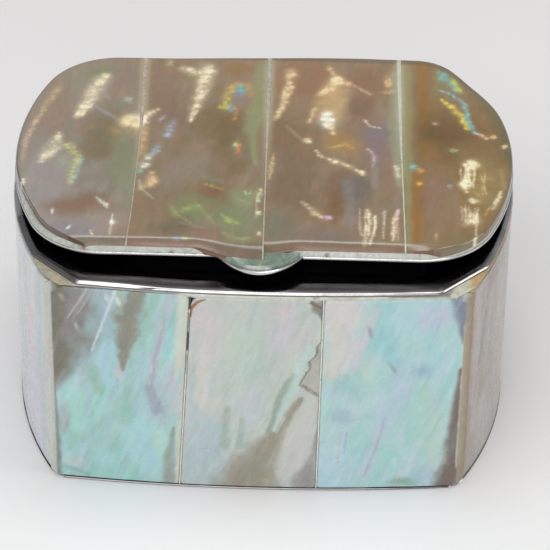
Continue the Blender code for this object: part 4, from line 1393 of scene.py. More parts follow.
STRIP_WASHES = (
    [
        ((153, 145, 134), 1, (-27, 0, 13, 30, 0)),
        ((164, 156, 154), 0.9, (-31, -9, 4.5, 9, 0)),
        ((134, 122, 94), 0.95, (-22.4, 3.5, 3.6, 6.5, -12)),
        ((142, 148, 118), 0.8, (-19.4, -3, 1.8, 6.5, -6)),
        ((142, 112, 88), 0.85, (-25.4, -12.4, 3.4, 2.4, 0)),
        ((142, 124, 114), 0.8, (-20.8, 18.5, 2.2, 3.5, 0)),
        ((126, 140, 108), 0.85, (-24.6, 19.8, 2, 1.2, -20)),
        ((168, 152, 140), 0.85, (-21.5, -16.5, 2.8, 3.5, 0)),
        ((150, 148, 160), 0.6, (-25.5, -18.5, 3, 1.6, 0)),
        ((158, 138, 120), 0.7, (-29, 9, 3, 5, -18)),
    ],
    [
        ((148, 128, 104), 1, (-9, 0, 8.6, 30, 0)),
        ((142, 118, 102), 0.85, (-14.4, 15, 2.6, 6, -8)),
        ((128, 110, 72), 0.95, (-6, 5.5, 2.8, 7, -8)),
        ((152, 138, 124), 0.9, (-11.4, -3, 3, 4.5, -10)),
        ((150, 155, 115), 0.95, [(-1, 22, 0.8), (-1.7, 10, 1.2), (-1.8, 4, 0.9), (-1.2, -2, 0.3)]),
        ((152, 118, 70), 0.9, (-4.8, 21.5, 2.2, 1.6, 0)),
        ((142, 98, 72), 0.9, (-6.6, -9.8, 2, 2.8, -10)),
        ((134, 142, 98), 0.85, (-9.2, -13, 2.3, 3.2, -12)),
        ((118, 108, 84), 0.8, (-12.4, -18, 2.6, 2.4, 0)),
        ((134, 148, 112), 0.85, (-3.8, -14.6, 3.2, 5.2, -10)),
        ((150, 158, 118), 0.8, (-2.2, -11.5, 1.3, 3.4, 0)),
        ((150, 122, 106), 0.8, (-7.6, -18.5, 1.6, 1.6, 0)),
    ],
    [
        ((154, 130, 104), 1, (9.6, 0, 9.4, 30, 0)),
        ((152, 112, 84), 0.9, (6, 19, 5.5, 5, 0)),
        ((140, 104, 78), 0.9, (14.8, 18.5, 3.2, 3.2, 0)),
        ((194, 164, 118), 0.9, (9.6, 13.4, 1.8, 4.6, 6)),
        ((134, 106, 85), 0.9, (13.4, 13.2, 1.8, 3.2, 0)),
        ((142, 126, 128), 0.9, (15.6, 3.5, 1.9, 6, 0)),
        ((172, 140, 92), 0.95, (10.8, 3.4, 2.2, 2.4, 0)),
        ((140, 116, 88), 0.9, (3, 5, 2.2, 5, 0)),
        ((132, 112, 88), 0.8, (4.4, -7, 3.2, 6, 0)),
        ((130, 100, 68), 0.9, (10.2, -9.4, 1.5, 4.2, 0)),
        ((122, 113, 107), 0.85, (13.2, -7.4, 1.8, 4, 0)),
        ((132, 131, 115), 0.8, (2.4, -17, 2, 4, 0)),
        ((136, 123, 112), 0.8, (8.6, -18.6, 4, 2, 0)),
        ((156, 160, 134), 0.9, [(18.2, 21, 0.7), (18.4, 4, 0.8), (19, -6, 0.4)]),
    ],
    [
        ((142, 114, 72), 1, (28, 0, 9, 30, 0)),
        ((154, 150, 106), 0.9, [(19.9, 23, 0.9), (20.1, 4, 0.8), (20.4, -20, 0.4)]),
        ((147, 108, 54), 1, [(22.3, 24, 1.2), (22.6, 12, 1.4), (23.4, 1, 1.1)]),
        ((116, 92, 54), 0.9, (26, 7.5, 3.2, 4.4, 0)),
        ((154, 126, 108), 0.85, (24.3, -8.6, 1.6, 6.6, 0)),
        ((160, 116, 62), 0.85, [(21.4, -2, 0.3), (21.3, -9, 0.7), (21.5, -19, 0.7)]),
        ((118, 110, 80), 0.85, [(29, 22, 1.2), (33.4, 12, 1.4), (35, 0, 1)]),
        ((154, 128, 98), 0.8, (26.4, -12, 1.6, 6.5, 0)),
        ((156, 136, 92), 0.7, (31.4, -6, 2.2, 6, 4)),
        ((140, 124, 84), 0.8, (27.5, -19, 4, 1.8, 0)),
    ],
)
STRIP_LINES = (
    [
        ((178, 168, 178), 0.5, [(-24.4, 11.4, 0.25), (-22.5, 9.6, 0.4), (-20.7, 8, 0.2)]),
        ((176, 164, 168), 0.7, (-23, 13.8, 0.9, 0.5, 60)),
        ((150, 140, 128), 0.8, [(-27.6, 8, 0.5), (-29, 1.5, 0.4)]),
    ],
    [
        ((190, 180, 160), 0.7, [(-17.2, -6.6, 0.2), (-16.8, -8.6, 0.2), (-15, -10.9, 0.14)]),
        ((160, 160, 124), 0.5, [(-8.4, -13, 0.3), (-6.2, -16.6, 0.2)]),
        ((160, 158, 140), 0.5, [(-11, -16.4, 0.25), (-8, -17.4, 0.2)]),
    ],
    [
        ((178, 154, 126), 0.6, [(3, 7.6, 0.16), (4.6, 5.2, 0.35), (5.6, 3.8, 0.2)]),
        ((162, 152, 150), 0.5, [(15.5, 1, 0.5), (15.6, -7, 0.4)]),
        ((150, 150, 152), 0.4, [(12, -6, 0.8), (12.2, -16, 0.6)]),
    ],
    [
        ((160, 138, 112), 0.3, [(27, -8, 0.5), (27, -18, 0.4)]),
        ((176, 160, 112), 0.5, [(33.2, -1.5, 0.4), (33.6, -6, 0.3)]),
    ],
)
# Painted highlights on each strip of the lid: glints, their halos and flashes of iridescent colour, as
# (colour, strength, shape).
STRIP_PAINTED_GLINTS = (
    [
        (CREAM, 0.87, [(-23.7, 18.4, 0.9), (-25, 14.8, 0.95), (-26, 11.2, 0.9), (-27, 8.8, 0.4)]),
        (CREAM, 0.77, [(-29.2, 4.8, 0.4), (-29.7, 1.6, 1), (-30.2, 0, 0.9), (-31.2, -2.2, 0.5)]),
        ((236, 208, 158), 0.6, [(-30.2, 15.6, 0.5), (-31.8, 11.1, 0.4), (-32.9, 7, 0.3)]),
        ((232, 194, 170), 0.65, [(-32.8, 8, 0.3), (-33.7, 3.8, 0.4), (-33.9, -1.6, 0.25)]),
        ((214, 214, 146), 0.75, [(-27.6, 1.9, 0.6), (-26, -1, 0.5), (-26.5, -4.6, 0.5), (-26.9, -7.6, 0.35)]),
        ((142, 186, 184), 0.7, [(-25.5, -1.6, 0.25), (-25.9, -4.6, 0.25), (-26.3, -7.2, 0.25)]),
        ((172, 190, 150), 0.6, (-27.6, -2.6, 0.9, 2.2, -10)),
        ((255, 247, 222), 1, (-18.9, 8.2, 1.3, 1.5, 0)),
        ((226, 186, 116), 0.4, (-19.4, 6.4, 1.6, 1.9, 0)),
        ((196, 222, 210), 0.7, (-19.9, 13.1, 0.8, 0.45, 60)),
        (PALE, 0.85, (-33.3, -7.3, 0.7, 0.32, 100)),
        (PALE, 0.85, (-28.7, -14.2, 0.6, 0.22, 90)),
        (PALE, 0.85, (-26.2, -17.9, 0.55, 0.2, 110)),
        (CREAM, 0.72, (-22.9, -19.2, 0.6, 0.22, 75)),
        (PALE, 0.75, [(-22.9, -10.8, 0.22), (-21.4, -12.6, 0.28), (-21.2, -13.4, 0.1)]),
        (PALE, 0.8, (-20.2, -16.6, 0.4, 0.4, 0)),
        (PALE, 0.6, [(-20.4, -14.6, 0.12), (-20.5, -19.2, 0.2)]),
    ],
    [
        (CREAM, 0.87, [(-8.9, 21.4, 1), (-9.1, 17.6, 0.9), (-9.9, 12.6, 0.7), (-10.8, 8.2, 0.3)]),
        (CREAM, 0.77, [(-12.4, 20.9, 0.6), (-10.6, 19.9, 0.7), (-9, 20.6, 0.6)]),
        ((226, 200, 160), 0.7, (-14.4, 22.6, 1.2, 0.4, 90)),
        (CREAM, 0.82, [(-17.5, 9, 0.8), (-16.4, 10.2, 0.5), (-15.5, 10.9, 0.3)]),
        ((255, 247, 222), 1, (-17.5, 8, 0.6, 1.2, 0)),
        ((250, 200, 130), 0.6, [(-17.2, 6, 0.7), (-17.2, 0, 0.5)]),
        ((176, 190, 206), 0.75, [(-13.1, 8, 0.5), (-13.8, 5.2, 0.7)]),
        ((190, 176, 196), 0.7, (-14.8, 8.8, 0.7, 0.25, 120)),
        ((174, 188, 208), 0.75, (-15.3, 0.9, 0.7, 1, 20)),
        ((236, 244, 226), 0.9, [(-16.1, -0.7, 0.6), (-16.9, -3.2, 0.6)]),
        ((144, 202, 184), 0.75, (-17.2, -4.3, 0.4, 0.6, 0)),
        ((244, 214, 160), 0.75, [(-15.5, -4.6, 0.4), (-15.6, -7, 0.75), (-16.8, -8.6, 0.4)]),
        ((228, 164, 90), 0.7, [(-5.3, 16.6, 0.4), (-4.4, 17.5, 0.5), (-3, 17.4, 0.4), (-2.6, 16.2, 0.4)]),
        ((222, 206, 112), 0.8, [(-5.2, 16.2, 0.7), (-5.8, 13.6, 0.6)]),
        ((128, 184, 176), 0.85, (-3.6, 15.9, 0.8, 1.1, 0)),
        ((146, 136, 166), 0.75, (-4.3, 14.6, 0.9, 0.6, 0)),
        ((216, 208, 116), 0.75, (-5.8, 11.9, 0.6, 1, 0)),
        ((140, 160, 174), 0.75, (-5, 11.6, 0.45, 1.1, 0)),
        ((222, 156, 96), 0.65, [(-4.3, 11.6, 0.3), (-4.5, 8.8, 0.25)]),
        ((222, 146, 84), 0.6, (-2.4, 15.2, 0.6, 0.5, 0)),
        ((124, 180, 172), 0.8, (-4.3, 2.5, 0.35, 0.8, 0)),
        ((226, 206, 116), 0.8, (-3.9, 2.8, 0.35, 0.9, 0)),
        ((222, 150, 90), 0.75, [(-3.5, 2.8, 0.2), (-3.9, 0.7, 0.35)]),
        ((116, 152, 112), 0.7, [(-7.9, -5.4, 0.4), (-6.8, -6.4, 0.6), (-5.8, -6.4, 0.4)]),
        ((184, 180, 104), 0.65, [(-8.1, -7.2, 0.25), (-6.9, -7.7, 0.35), (-5.5, -8.4, 0.2)]),
        ((148, 160, 108), 0.3, (-9.6, -12.6, 1.5, 2, 24)),
        ((176, 192, 116), 0.5, [(-10.9, -13.8, 0.3), (-9.8, -12.9, 0.5), (-8.6, -12.4, 0.4)]),
        ((170, 186, 120), 0.5, [(-12.6, -12.2, 0.2), (-11.8, -14.4, 0.35), (-9.6, -16.4, 0.2)]),
        ((182, 196, 108), 0.7, [(-5.5, -14.2, 0.2), (-4.2, -15.7, 0.55), (-3.1, -16.3, 0.3)]),
        ((166, 178, 124), 0.6, [(-5, -18.4, 0.3), (-3.6, -19.7, 0.5), (-1.5, -19.6, 0.35)]),
        ((144, 158, 196), 0.7, (-11.2, -19.8, 0.3, 0.7, 90)),
        ((190, 214, 140), 0.75, (-10.2, -19.7, 0.25, 0.7, 100)),
        (CREAM, 0.72, [(-0.3, -8, 0.2), (-0.2, -9.6, 0.25)]),
        ((232, 236, 214), 0.85, [(-0.6, -9.6, 0.14), (-0.4, -11.2, 0.2)]),
        ((250, 230, 206), 0.85, (-0.4, -13.6, 0.3, 0.55, 0)),
        (CREAM, 0.72, (-0.2, -18.4, 0.3, 0.5, 0)),
        ((204, 208, 164), 0.7, [(-2.8, -8.8, 0.1), (-1.9, -9.3, 0.12)]),
        ((204, 208, 164), 0.7, [(-3, -10.8, 0.1), (-2.1, -11.3, 0.12)]),
    ],
    [
        ((240, 218, 170), 0.84, [(3.3, 20.8, 0.7), (2.9, 16.2, 0.65), (2.2, 12.2, 0.5), (1.3, 9.2, 0.3)]),
        ((255, 248, 214), 0.95, (9.8, 19, 0.6, 0.9, 0)),
        ((250, 226, 176), 0.9, [(9.9, 18.9, 0.8), (9.2, 17, 0.8), (7.6, 15.4, 0.45)]),
        ((248, 222, 168), 0.85, [(9.9, 19.2, 0.6), (11.5, 18, 0.45)]),
        ((240, 210, 160), 0.8, [(9.6, 20.2, 0.4), (8.8, 22.2, 0.4)]),
        ((228, 186, 158), 0.75, [(12.5, 17.8, 0.3), (13.4, 17, 0.25), (14.9, 15.8, 0.3)]),
        ((236, 204, 152), 0.42, (9.6, 14.6, 1.5, 4, 10)),
        ((255, 255, 242), 1, (8.8, 9.5, 1.1, 1.4, 0)),
        ((240, 220, 170), 0.85, [(8.9, 8.8, 0.5), (9.6, 6.4, 0.35)]),
        ((240, 214, 160), 0.8, [(6.9, 12, 0.35), (6.2, 8.8, 0.3)]),
        ((246, 226, 186), 0.85, (6, 4.2, 0.5, 0.5, 0)),
        ((246, 226, 186), 0.8, [(7.2, 1.9, 0.25), (8.2, 0.2, 0.3)]),
        ((255, 238, 194), 0.95, [(8.9, -0.1, 0.3), (10.2, -0.9, 0.5)]),
        ((255, 234, 188), 0.9, [(11.1, -1.4, 0.35), (12.1, -2.2, 0.5)]),
        ((255, 238, 194), 0.9, [(12.9, -2.8, 0.3), (13.9, -3.7, 0.4)]),
        ((216, 186, 110), 0.7, [(9.4, 2.6, 0.3), (11.4, 3.6, 0.35), (12.4, 2.6, 0.3)]),
        ((240, 214, 186), 0.75, [(14, 9.6, 0.25), (14.8, 8.2, 0.2), (16.4, 7.8, 0.15)]),
        ((220, 196, 190), 0.7, [(14.6, 2.6, 0.25), (15.5, 0.6, 0.25), (15.2, -1.8, 0.15)]),
        ((244, 206, 150), 0.8, (17.4, 19.2, 0.55, 1.3, 0)),
        ((236, 196, 146), 0.7, [(16.6, 16.4, 0.35), (18.2, 16.6, 0.35)]),
        (CREAM, 0.77, [(18.5, -1.6, 0.35), (18.8, -4, 0.4)]),
        ((228, 198, 146), 0.75, [(1.3, 0.8, 0.15), (1.1, -2.2, 0.32), (0.9, -5.6, 0.15)]),
        ((236, 216, 180), 0.75, [(5.6, -11, 0.3), (7.4, -13.4, 0.5), (8.4, -14.4, 0.35)]),
        ((236, 206, 236), 0.95, (9.3, -14.4, 0.4, 0.42, 0)),
        (CREAM, 0.72, [(14.6, -12.2, 0.3), (14.9, -15, 0.35), (14.2, -19.9, 0.3)]),
        (CREAM, 0.75, [(15.6, -13.6, 0.2), (15.7, -16, 0.2), (15, -19.8, 0.2)]),
        (CREAM, 0.6, [(16.9, -12.4, 0.2), (16.8, -18.6, 0.14)]),
        ((240, 216, 186), 0.8, [(18.8, -12, 0.2), (18.3, -14.6, 0.35), (18.1, -19, 0.25)]),
        ((200, 170, 220), 0.75, (18.9, -12.4, 0.22, 0.5, 0)),
    ],
    [
        ((132, 188, 180), 0.85, [(25.2, 22, 0.7), (26.6, 20.6, 0.9), (27.8, 18.6, 0.5)]),
        ((206, 212, 104), 0.85, [(27.4, 20.9, 0.5), (27.8, 19.8, 0.7), (28.6, 18.6, 0.4)]),
        ((232, 212, 108), 0.9, [(25.3, 15.4, 0.3), (26.9, 13.3, 0.65), (28, 11.4, 0.6), (28.7, 8.6, 0.35)]),
        ((136, 194, 196), 0.85, [(25, 17.8, 0.3), (27.2, 17.2, 0.4), (28.7, 15.2, 0.4), (28.9, 10.8, 0.35),
                                 (29.6, 7.6, 0.35)]),
        ((236, 196, 176), 0.85, [(30.2, 7.4, 0.35), (31.4, 6.4, 0.3)]),
        ((236, 216, 150), 0.8, (32.3, 6.8, 0.45, 0.4, 40)),
        ((240, 216, 166), 0.85, (33.9, 4.6, 0.5, 0.35, 130)),
        ((200, 172, 158), 0.7, (24.2, 9.6, 0.4, 0.5, 0)),
        ((180, 206, 150), 0.7, (26.6, 3, 0.5, 0.4, 0)),
        ((255, 250, 216), 0.95, (29.2, -0.2, 0.9, 0.8, 30)),
        (CREAM, 0.72, [(29, -1, 0.45), (28.1, -5.4, 0.6), (28.2, -7.2, 0.3)]),
        ((255, 250, 216), 0.95, (28.2, -5.2, 0.55, 0.8, 0)),
        ((222, 198, 136), 0.4, (29.8, -4, 1.5, 4.2, 0)),
        (CREAM, 0.75, (29.3, -9.2, 0.9, 0.5, 0)),
        (CREAM, 0.77, [(28.2, -11.6, 0.5), (29, -13.4, 0.9), (28, -15, 0.4)]),
        (CREAM, 0.72, [(29.6, -12.4, 0.2), (29.4, -18.4, 0.16)]),
        (CREAM, 0.82, (29.5, -18.3, 0.35, 0.4, 0)),
        (CREAM, 0.82, [(33.1, -6.6, 0.2), (32.5, -9, 0.35), (31.8, -11, 0.25)]),
        ((226, 206, 130), 0.7, [(31.4, -10.6, 0.15), (30.8, -12.6, 0.12)]),
        ((140, 200, 194), 0.85, (21.1, -1.8, 0.6, 0.7, 0)),
        ((228, 168, 92), 0.75, (22, -2.4, 0.4, 0.6, 0)),
        ((236, 190, 80), 0.75, (21.8, -5.6, 0.4, 0.6, 0)),
        ((186, 166, 196), 0.7, (26, -5.9, 0.3, 0.5, 0)),
        ((226, 190, 150), 0.7, (24, -17.9, 0.9, 0.2, 90)),
    ],
)
# Painted highlights in groups of wavering upright lines: (colour, strength, x, y, length, count, pitch).
STRIP_RIBBED_GLINTS = (
    [],
    [((196, 226, 150), 0.55, -2.4, -9, 1.2, 3, 0.8), ((226, 236, 190), 0.6, -0.7, -12, 6, 1, 0.5)],
    [(CREAM, 0.75, 13.7, -15.6, 8, 3, 0.55), (CREAM, 0.6, 15.7, -15.8, 7, 1, 0.5),
     ((240, 220, 200), 0.7, 18.2, -15.6, 7.4, 2, 0.5)],
    [((255, 250, 216), 0.75, 27.6, -3.6, 6.4, 4, 0.6), (CREAM, 0.7, 27.6, -12.4, 4.6, 5, 0.55),
     ((236, 214, 160), 0.5, 30.4, -4.6, 6, 2, 0.6)],
)


def ribbed_glint_strokes(colour, amount, x, y, length, count, pitch):
    """Painted highlights as wavering upright lines side by side, as on ribbed shell."""
    rng = np.random.RandomState(int(abs(x) * 10) + count)
    strokes = []
    for k in range(count):
        top = y + length / 2 * rng.uniform(0.6, 1.0)
        bottom = y - length / 2 * rng.uniform(0.6, 1.0)
        line = [(x + k * pitch + rng.uniform(-0.16, 0.16), b, rng.uniform(0.09, 0.18))
                for b in np.linspace(top, bottom, 5)]
        strokes.append((colour, amount * rng.uniform(0.7, 1.0), line))
    return strokes


def paint_strip(mesh, index):
    """Paints one strip of the lid, then its bevel, its edges and the seams beside it, with painted
    highlights, a painted highlight along the crease and painted shade along its rounded edges.
    """
    points = points_of(mesh) / MM
    x, y = points[:, 0], points[:, 1]
    drawn_y = y + 0.6 * smoothstep(-16.0, 4.0, y) - 0.4 * smoothstep(6.0, 23.0, y)
    canvas = Canvas(x, drawn_y, LID_GROUND)
    canvas.wash(STRIP_WASHES[index][:1])
    for colour, amount, degrees, seed in LID_STREAKS:
        canvas.streaks(colour, amount, degrees, seed + index * 20, 0.45, 0.09)
    canvas.hairs((26, STRIP_TONES[index], 9, 2.6, 0.4))
    canvas.wash(STRIP_WASHES[index][1:], 0.8, 0.7, 0.3)
    # the strips painted lighter towards the back of the lid
    canvas.lay(LID_BACK_LIGHTENING, 0.24 * smoothstep(4.0, 21.0, y))
    canvas.wash(STRIP_LINES[index], 0.7, 0.5, 0.8)
    # painted highlights, in lines and patches and in ribbed groups
    canvas.paint_glints(STRIP_PAINTED_GLINTS[index])
    for group in STRIP_RIBBED_GLINTS[index]:
        canvas.paint_glints(ribbed_glint_strokes(*group))
    crease = SHELL_FRONT_Y + BEVEL
    flat_y = y + 0.7 * shell_swell(x)
    on_bevel = (1 - smoothstep(crease - 0.2, crease + 0.15, flat_y)) * bevel_share(x)
    canvas.lay(BEVEL_TONES[index], on_bevel * 0.8)
    # a painted highlight along the crease at the top of the bevel
    wander = 0.05 * fractal(x * 1.5, y * 1.5, 7)
    crease_highlight = 1 - smoothstep(0.04, 0.24, abs(flat_y - crease) + wander)
    canvas.lay(CREASE_HIGHLIGHT, crease_highlight * bevel_share(x) * 0.55)
    low_edge = 1 - smoothstep(0.02, 0.14, y - shell_front(x) + 0.14 * fractal(x * 0.9, y * 0.3, 17))
    canvas.lay(LOW_EDGE_TONE, low_edge * 0.9)
    for seam in LID_SEAMS:
        beside = (1 - smoothstep(-0.2, 1.1, abs(x - seam_x(seam, y)) - seam_half(y))) ** 1.5
        canvas.lay(SEAM_SIDE_TONE, beside * 0.7 * smoothstep(-14.0, 12.0, y))
    # painted shade along the shell's rounded edges
    rim = 1 - smoothstep(0.05, 0.7, shell_distance(x, np.minimum(y, BACK_Y)))
    canvas.lay(SHELL_EDGE_SHADE, rim * 0.5)
    if index == 0:
        from_left = x + shell_outline_x(y, CORNER_MARGINS[0])
        crack = 1 - smoothstep(0.03, 0.2, from_left + 0.1 * fractal(x * 1.1, y * 1.1, 19))
        canvas.lay(CRACK_TONE, crack * 0.85 * smoothstep(2.0, -3.0, y))
    keep_paint(mesh, canvas)


def make_lid_shell(nacre_lid):
    for index in range(4):
        name = f"lid_strip_{index + 1}_shell"
        mesh = mesh_from(lid_strip(index), name, 60.0)
        paint_strip(mesh, index)
        open_lid(mesh)
        add_piece(name, mesh, nacre_lid, "lid", "lid_shell", f"lid_strip_{index + 1}")


# Joints between the shell pieces


def paint_plain(mesh, colour, spots=()):
    canvas = canvas_over(mesh, 0, 2, colour)
    canvas.lines(spots)
    keep_paint(mesh, canvas)


def make_lid_seams(filler):
    """A thin fillet of filler in each seam of the lid."""
    colours = ((172, 158, 142), (166, 168, 150), (190, 194, 176))
    y = np.linspace(SHELL_FRONT_Y + 0.02, SHELL_BACK_Y - 0.05, 160)
    across = np.array([-1.0, -0.4, 0.4, 1.0])
    sunk = np.array([0.04, 0.02, 0.02, 0.04])
    for index, (seam, colour) in enumerate(zip(LID_SEAMS, colours)):
        x = seam_x(seam, y)[:, None] + (seam_half(y) - JOINT_PLAY)[:, None] * across
        yy = np.broadcast_to(y[:, None], x.shape)
        name = f"lid_seam_{index + 1}"
        outer = grid(x, shell_place(x - 0.3, yy), shell_top(x, yy) - sunk)
        mesh = mesh_from(slab_down_to(STRIP_BOTTOM, outer), name)
        paint_plain(mesh, colour)
        open_lid(mesh)
        add_piece(name, mesh, filler, "lid", None)


STAINS = [
    ((74, 60, 50), 0.95, [(-9.2, 34.5, 0.3), (-9.3, 32.6, 0.2)]),
    ((120, 106, 92), 0.7, [(-9.35, 31.6, 0.2), (-9.5, 29, 0.2)]),
    ((64, 52, 44), 0.9, [(-9.5, 28.4, 0.2), (-9.7, 25.4, 0.3)]),
    ((140, 128, 114), 0.6, [(-9.8, 24.4, 0.2), (-9.95, 21, 0.2)]),
]


def make_front_seams(filler):
    """Filler in the two upright seams of the front and of the back, and in the middle of each end."""
    height = SLAB_TOP - SLAB_BOTTOM
    z = (SLAB_BOTTOM + np.linspace(0, 1, 120) * height)[:, None]
    half = SEAM_HALF - JOINT_PLAY
    across = np.array([-half, 0.0, half])[None, :]
    for place, front, edges in (("front", True, FRONT_EDGES), ("back", False, BACK_EDGES)):
        inward = 1.0 if front else -1.0
        for index, side_name in ((1, "left"), (2, "right")):
            x = edge_at(edges[index], z) + across
            face = front_y(x) if front else np.full_like(x, BACK_Y)
            sunk = 0.16 + 0.06 * fractal(z * 0.9 + 0 * x, x, 3)
            outer = grid(x, face + inward * sunk, z)
            inner = grid(x, face + inward * (SHELL_THICKNESS - 0.05), z)
            name = f"{place}_seam_{side_name}"
            mesh = mesh_from(slab(outer, inner), name)
            paint_plain(mesh, (206, 206, 194), STAINS if front and index == 1 else ())
            add_piece(name, mesh, filler, "case", None)
    y = MIDDLE_Y + across
    for side, side_name in ((-1, "left"), (1, "right")):
        outer = grid(side * (end_x(y) - 0.16), y, z)
        inner = grid(side * (end_x(y) - SHELL_THICKNESS + 0.05), y, z)
        name = f"end_seam_{side_name}"
        mesh = mesh_from(slab(outer, inner), name)
        paint_plain(mesh, (204, 203, 194))
        add_piece(name, mesh, filler, "case", None)


RIM_SPOTS = [
    ((146, 140, 124), 0.9, [(-33.5, 35, 2.4), (-26.5, 35, 1.8)]),
    ((184, 160, 132), 0.8, (-27.6, 34.2, 1, 0.6, 90)),
    ((120, 98, 84), 0.7, (-29.4, 34.6, 0.4, 0.8, 30)),
    ((176, 180, 164), 0.8, (27.4, 34.8, 1.6, 1.2, 0)),
    ((160, 130, 84), 0.85, [(29.4, 35, 0.6), (35, 35, 1.6)]),
    ((104, 102, 102), 0.8, [(17.5, 35.3, 0.1), (22, 35.2, 0.26), (26, 35.3, 0.3)]),
    ((150, 146, 146), 0.7, [(-24, 35.4, 0.3), (-11, 35.3, 0.3)]),
    ((186, 180, 170), 0.8, (12, 34.4, 14, 1, 90)),
]


def make_rim_bead(filler):
    """The line of filler between the slabs' upper edges and the rim."""
    low, high = SLAB_TOP - 0.2, BODY_HEIGHT - 0.44
    tip = BODY_HEIGHT - CORNER_FACET_DROP
    rings = []
    for inset, z in ((0.3, low), (0.18, low + 0.2), (0.12, low + 0.5), (0.04, high - 0.3),
                     (0.05, high - 0.08), (0.14, high)):
        cut_share = (z - tip) / CORNER_FACET_DROP
        left_lift = (LEFT_SLAB_RISE + 0.05) * (high - z) / (high - low)
        ring = []
        for x, y in body_outline([size * cut_share for size in RIM_CORNER_CUT], inset):
            lift = front_left(x, y, *LEFT_SLAB_PLACE) * left_lift
            ring.append((x, y, z + lift + LEFT_RIM_RISE * front_left(x, y, *LEFT_RIM_PLACE)))
        rings.append(ring)
    inner = body_outline(RIM_CORNER_CUT, SHELL_THICKNESS + 0.2)
    rings += [at_height(inner, high), at_height(inner, low)]
    mesh = mesh_from(loft(rings, hoop=True), "rim_bead")
    paint_plain(mesh, (196, 198, 186), RIM_SPOTS)
    add_piece("rim_bead", mesh, filler, "case", None)


LID_CRACKS = ((-31.6, -11.6), (-27.4, -18.2), (-24.2, -20.4), (-14.0, -20.9), (-12.2, -20.9), (9.0, -20.9))


def make_lid_bead(filler):
    """The fillet of filler round the shell's edge, on the bare margin of the lid plate."""
    outline = lid_outline(False)
    base = LID_TOP + 0.01
    profile = ((0.1, base), (0.12, base + 0.16), (0.26, base + 0.4), (0.48, base + 0.72),
               (0.9, base + 0.78), (0.9, base))
    rings = [at_height(inset_outline(outline, inset), z) for inset, z in profile]
    mesh = mesh_from(loft(rings, hoop=True), "lid_bead")
    canvas = canvas_over(mesh, 0, 1, (168, 173, 166))
    canvas.wash([((150, 148, 138), 0.7, [(-30.5, -14, 1.2), (-24, -20, 1.0)]),
                 ((186, 190, 186), 0.7, (12.0, -21.0, 6.0, 1.0, 0))])
    canvas.lines([((92, 70, 58), 0.9, [(x, y, 0.1), (x + 1.2, y - 1.3, 0.07)]) for x, y in LID_CRACKS])
    keep_paint(mesh, canvas)
    open_lid(mesh)
    add_piece("lid_bead", mesh, filler, "lid", None)


def make_tab_inlay(nacre):
    """The small mint-coloured piece of shell on the thumb tab."""
    half = TAB_WIDTH / 2 - TAB_INLAY_MARGIN
    reach = TAB_REACH - TAB_INLAY_MARGIN
    xs = np.linspace(-half, half, 90)
    back = np.minimum(shell_front(xs), LID_FRONT_Y) + 0.05
    front = np.minimum(LID_FRONT_Y - reach * (1 - (xs / half) ** 2), back - 0.05)
    v = np.linspace(0, 1, 26)[:, None]
    y = front[None, :] + (back - front)[None, :] * v
    x = np.broadcast_to(xs[None, :], y.shape)
    top = LID_TOP + 0.4 + 0.3 * v ** 0.8 - 0.25 * clamp(1 - v / 0.12) ** 2
    outer = grid(x, y, top + 0.02 * fractal(x * 1.2, y * 1.2, 4))
    mesh = mesh_from(slab_down_to(LID_TOP + 0.02, outer), "tab_inlay_shell", 50.0)
    canvas = canvas_over(mesh, 0, 1, (120, 141, 128))
    canvas.streaks((146, 157, 146), 0.8, 20, 5, 1.2, 0.4)
    canvas.streaks((106, 120, 107), 0.6, -30, 9, 1.4, 0.5)
    # a painted highlight along the inlay's front
    canvas.paint_glints([((206, 210, 206), 0.7, [(-3.0, -23.9, 0.12), (-1.0, -24.3, 0.2), (1.6, -24.2, 0.15)])])
    keep_paint(mesh, canvas)
    open_lid(mesh)
    add_piece("tab_inlay_shell", mesh, nacre, "lid", "tab_shell", "tab_inlay")


# Camera, light and floor

CAMERA_PLACE = (0.0091, -0.38913, 0.33051)
CAMERA_YAW = math.radians(1.08)
CAMERA_RISE = math.radians(38.76)
CAMERA_ROLL = math.radians(0.86)
LENS = 226.3
SENSOR_WIDTH = 36.0
FLOOR_REACH = 3.0
SKY_COLOUR = (0.86, 0.87, 0.9, 1.0)
SKY_STRENGTH = 0.34
LIGHTS_AIM = (0, 0, 0.02)
STUDIO_LIGHTS = (
    ("key", (-0.25, -0.75, 0.95), (0.9, 0.7), 5.2, (1.0, 0.985, 0.96)),
    ("overhead", (0.05, 0.15, 1.1), (0.8, 0.5), 3.9, (1.0, 0.98, 0.95)),
    ("left_fill", (-0.9, -0.25, 0.55), (0.6, 0.6), 1.9, (0.93, 0.96, 1.0)),
    ("right_fill", (0.9, -0.1, 0.5), (0.6, 0.6), 2.5, (1.0, 0.96, 0.9)),
    ("front_fill", (0.1, -1.1, 0.22), (1.0, 0.35), 2.5, (0.97, 0.99, 1.0)),
)


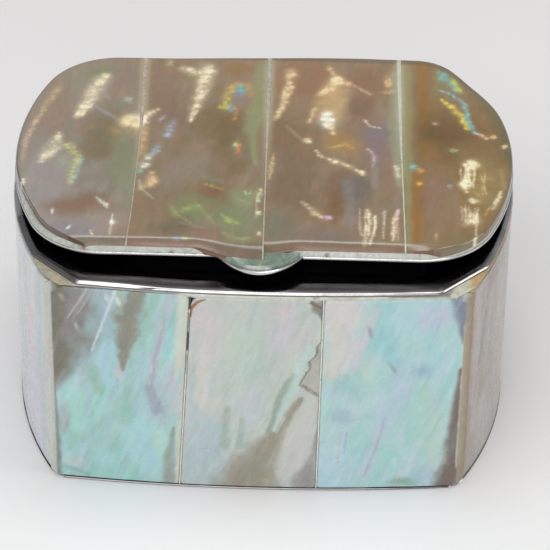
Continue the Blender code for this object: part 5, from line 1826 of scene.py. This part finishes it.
def make_camera():
    back = Vector((math.sin(CAMERA_YAW) * math.cos(CAMERA_RISE),
                   -math.cos(CAMERA_YAW) * math.cos(CAMERA_RISE), math.sin(CAMERA_RISE)))
    right = Vector((math.cos(CAMERA_YAW), math.sin(CAMERA_YAW), 0.0))
    up = right.cross(-back)
    turned_right = right * math.cos(CAMERA_ROLL) + up * math.sin(CAMERA_ROLL)
    turned_up = up * math.cos(CAMERA_ROLL) - right * math.sin(CAMERA_ROLL)
    camera = bpy.data.objects.new("camera", bpy.data.cameras.new("camera"))
    bpy.context.scene.collection.objects.link(camera)
    camera.data.lens = LENS
    camera.data.sensor_width = SENSOR_WIDTH
    camera.data.sensor_fit = "HORIZONTAL"
    camera.data.clip_start = 0.01
    camera.data.clip_end = 20.0
    turn = Matrix((turned_right, turned_up, back)).transposed().to_4x4()
    camera.matrix_world = Matrix.Translation(CAMERA_PLACE) @ turn
    bpy.context.scene.camera = camera


def add_light(name, place, size, power, colour):
    data = bpy.data.lights.new(name, "AREA")
    data.shape = "RECTANGLE"
    data.size, data.size_y = size
    data.energy = power
    data.color = colour
    light = bpy.data.objects.new(name, data)
    bpy.context.scene.collection.objects.link(light)
    light.location = place
    light.rotation_mode = "QUATERNION"
    light.rotation_quaternion = (Vector(LIGHTS_AIM) - Vector(place)).to_track_quat("-Z", "Y")


def make_studio():
    world = bpy.data.worlds.new("studio")
    bpy.context.scene.world = world
    world.use_nodes = True
    backdrop = world.node_tree.nodes["Background"]
    backdrop.inputs["Color"].default_value = SKY_COLOUR
    backdrop.inputs["Strength"].default_value = SKY_STRENGTH
    for light in STUDIO_LIGHTS:
        add_light(*light)
    floor_mesh = bpy.data.meshes.new("floor")
    corners = [(x * FLOOR_REACH, y * FLOOR_REACH, 0) for x, y in ((-1, -1), (1, -1), (1, 1), (-1, 1))]
    floor_mesh.from_pydata(corners, [], [(0, 1, 2, 3)])
    floor = bpy.data.objects.new("floor", floor_mesh)
    bpy.context.scene.collection.objects.link(floor)
    floor_mesh.materials.append(make_floor_look())
    bpy.context.scene.view_settings.view_transform = "Standard"


def build():
    make_camera()
    make_studio()
    metal = make_metal()
    filler = make_filler()
    nacre_front = make_nacre("front_nacre", (0, -19, 0), 2, (0.2, 0.34), 0.22, 0.34)
    nacre_side = make_nacre("side_nacre", (6, 0, 0), 2, (0.22, 0.36), 0.25, 0.34)
    nacre_lid = make_nacre("lid_nacre", (0, 0, 8), 1, (0.14, 0.26), 0.05, 0.22)
    make_case(metal)
    make_lid_metal(metal)
    make_slabs(nacre_front, nacre_side)
    make_lid_shell(nacre_lid)
    make_lid_seams(filler)
    make_front_seams(filler)
    make_rim_bead(filler)
    make_lid_bead(filler)
    make_tab_inlay(nacre_front)
    pin = frame["nodes"]["hinge_pin"]
    pin.data.materials.clear()
    pin.data.materials.append(make_pin_metal())


build()
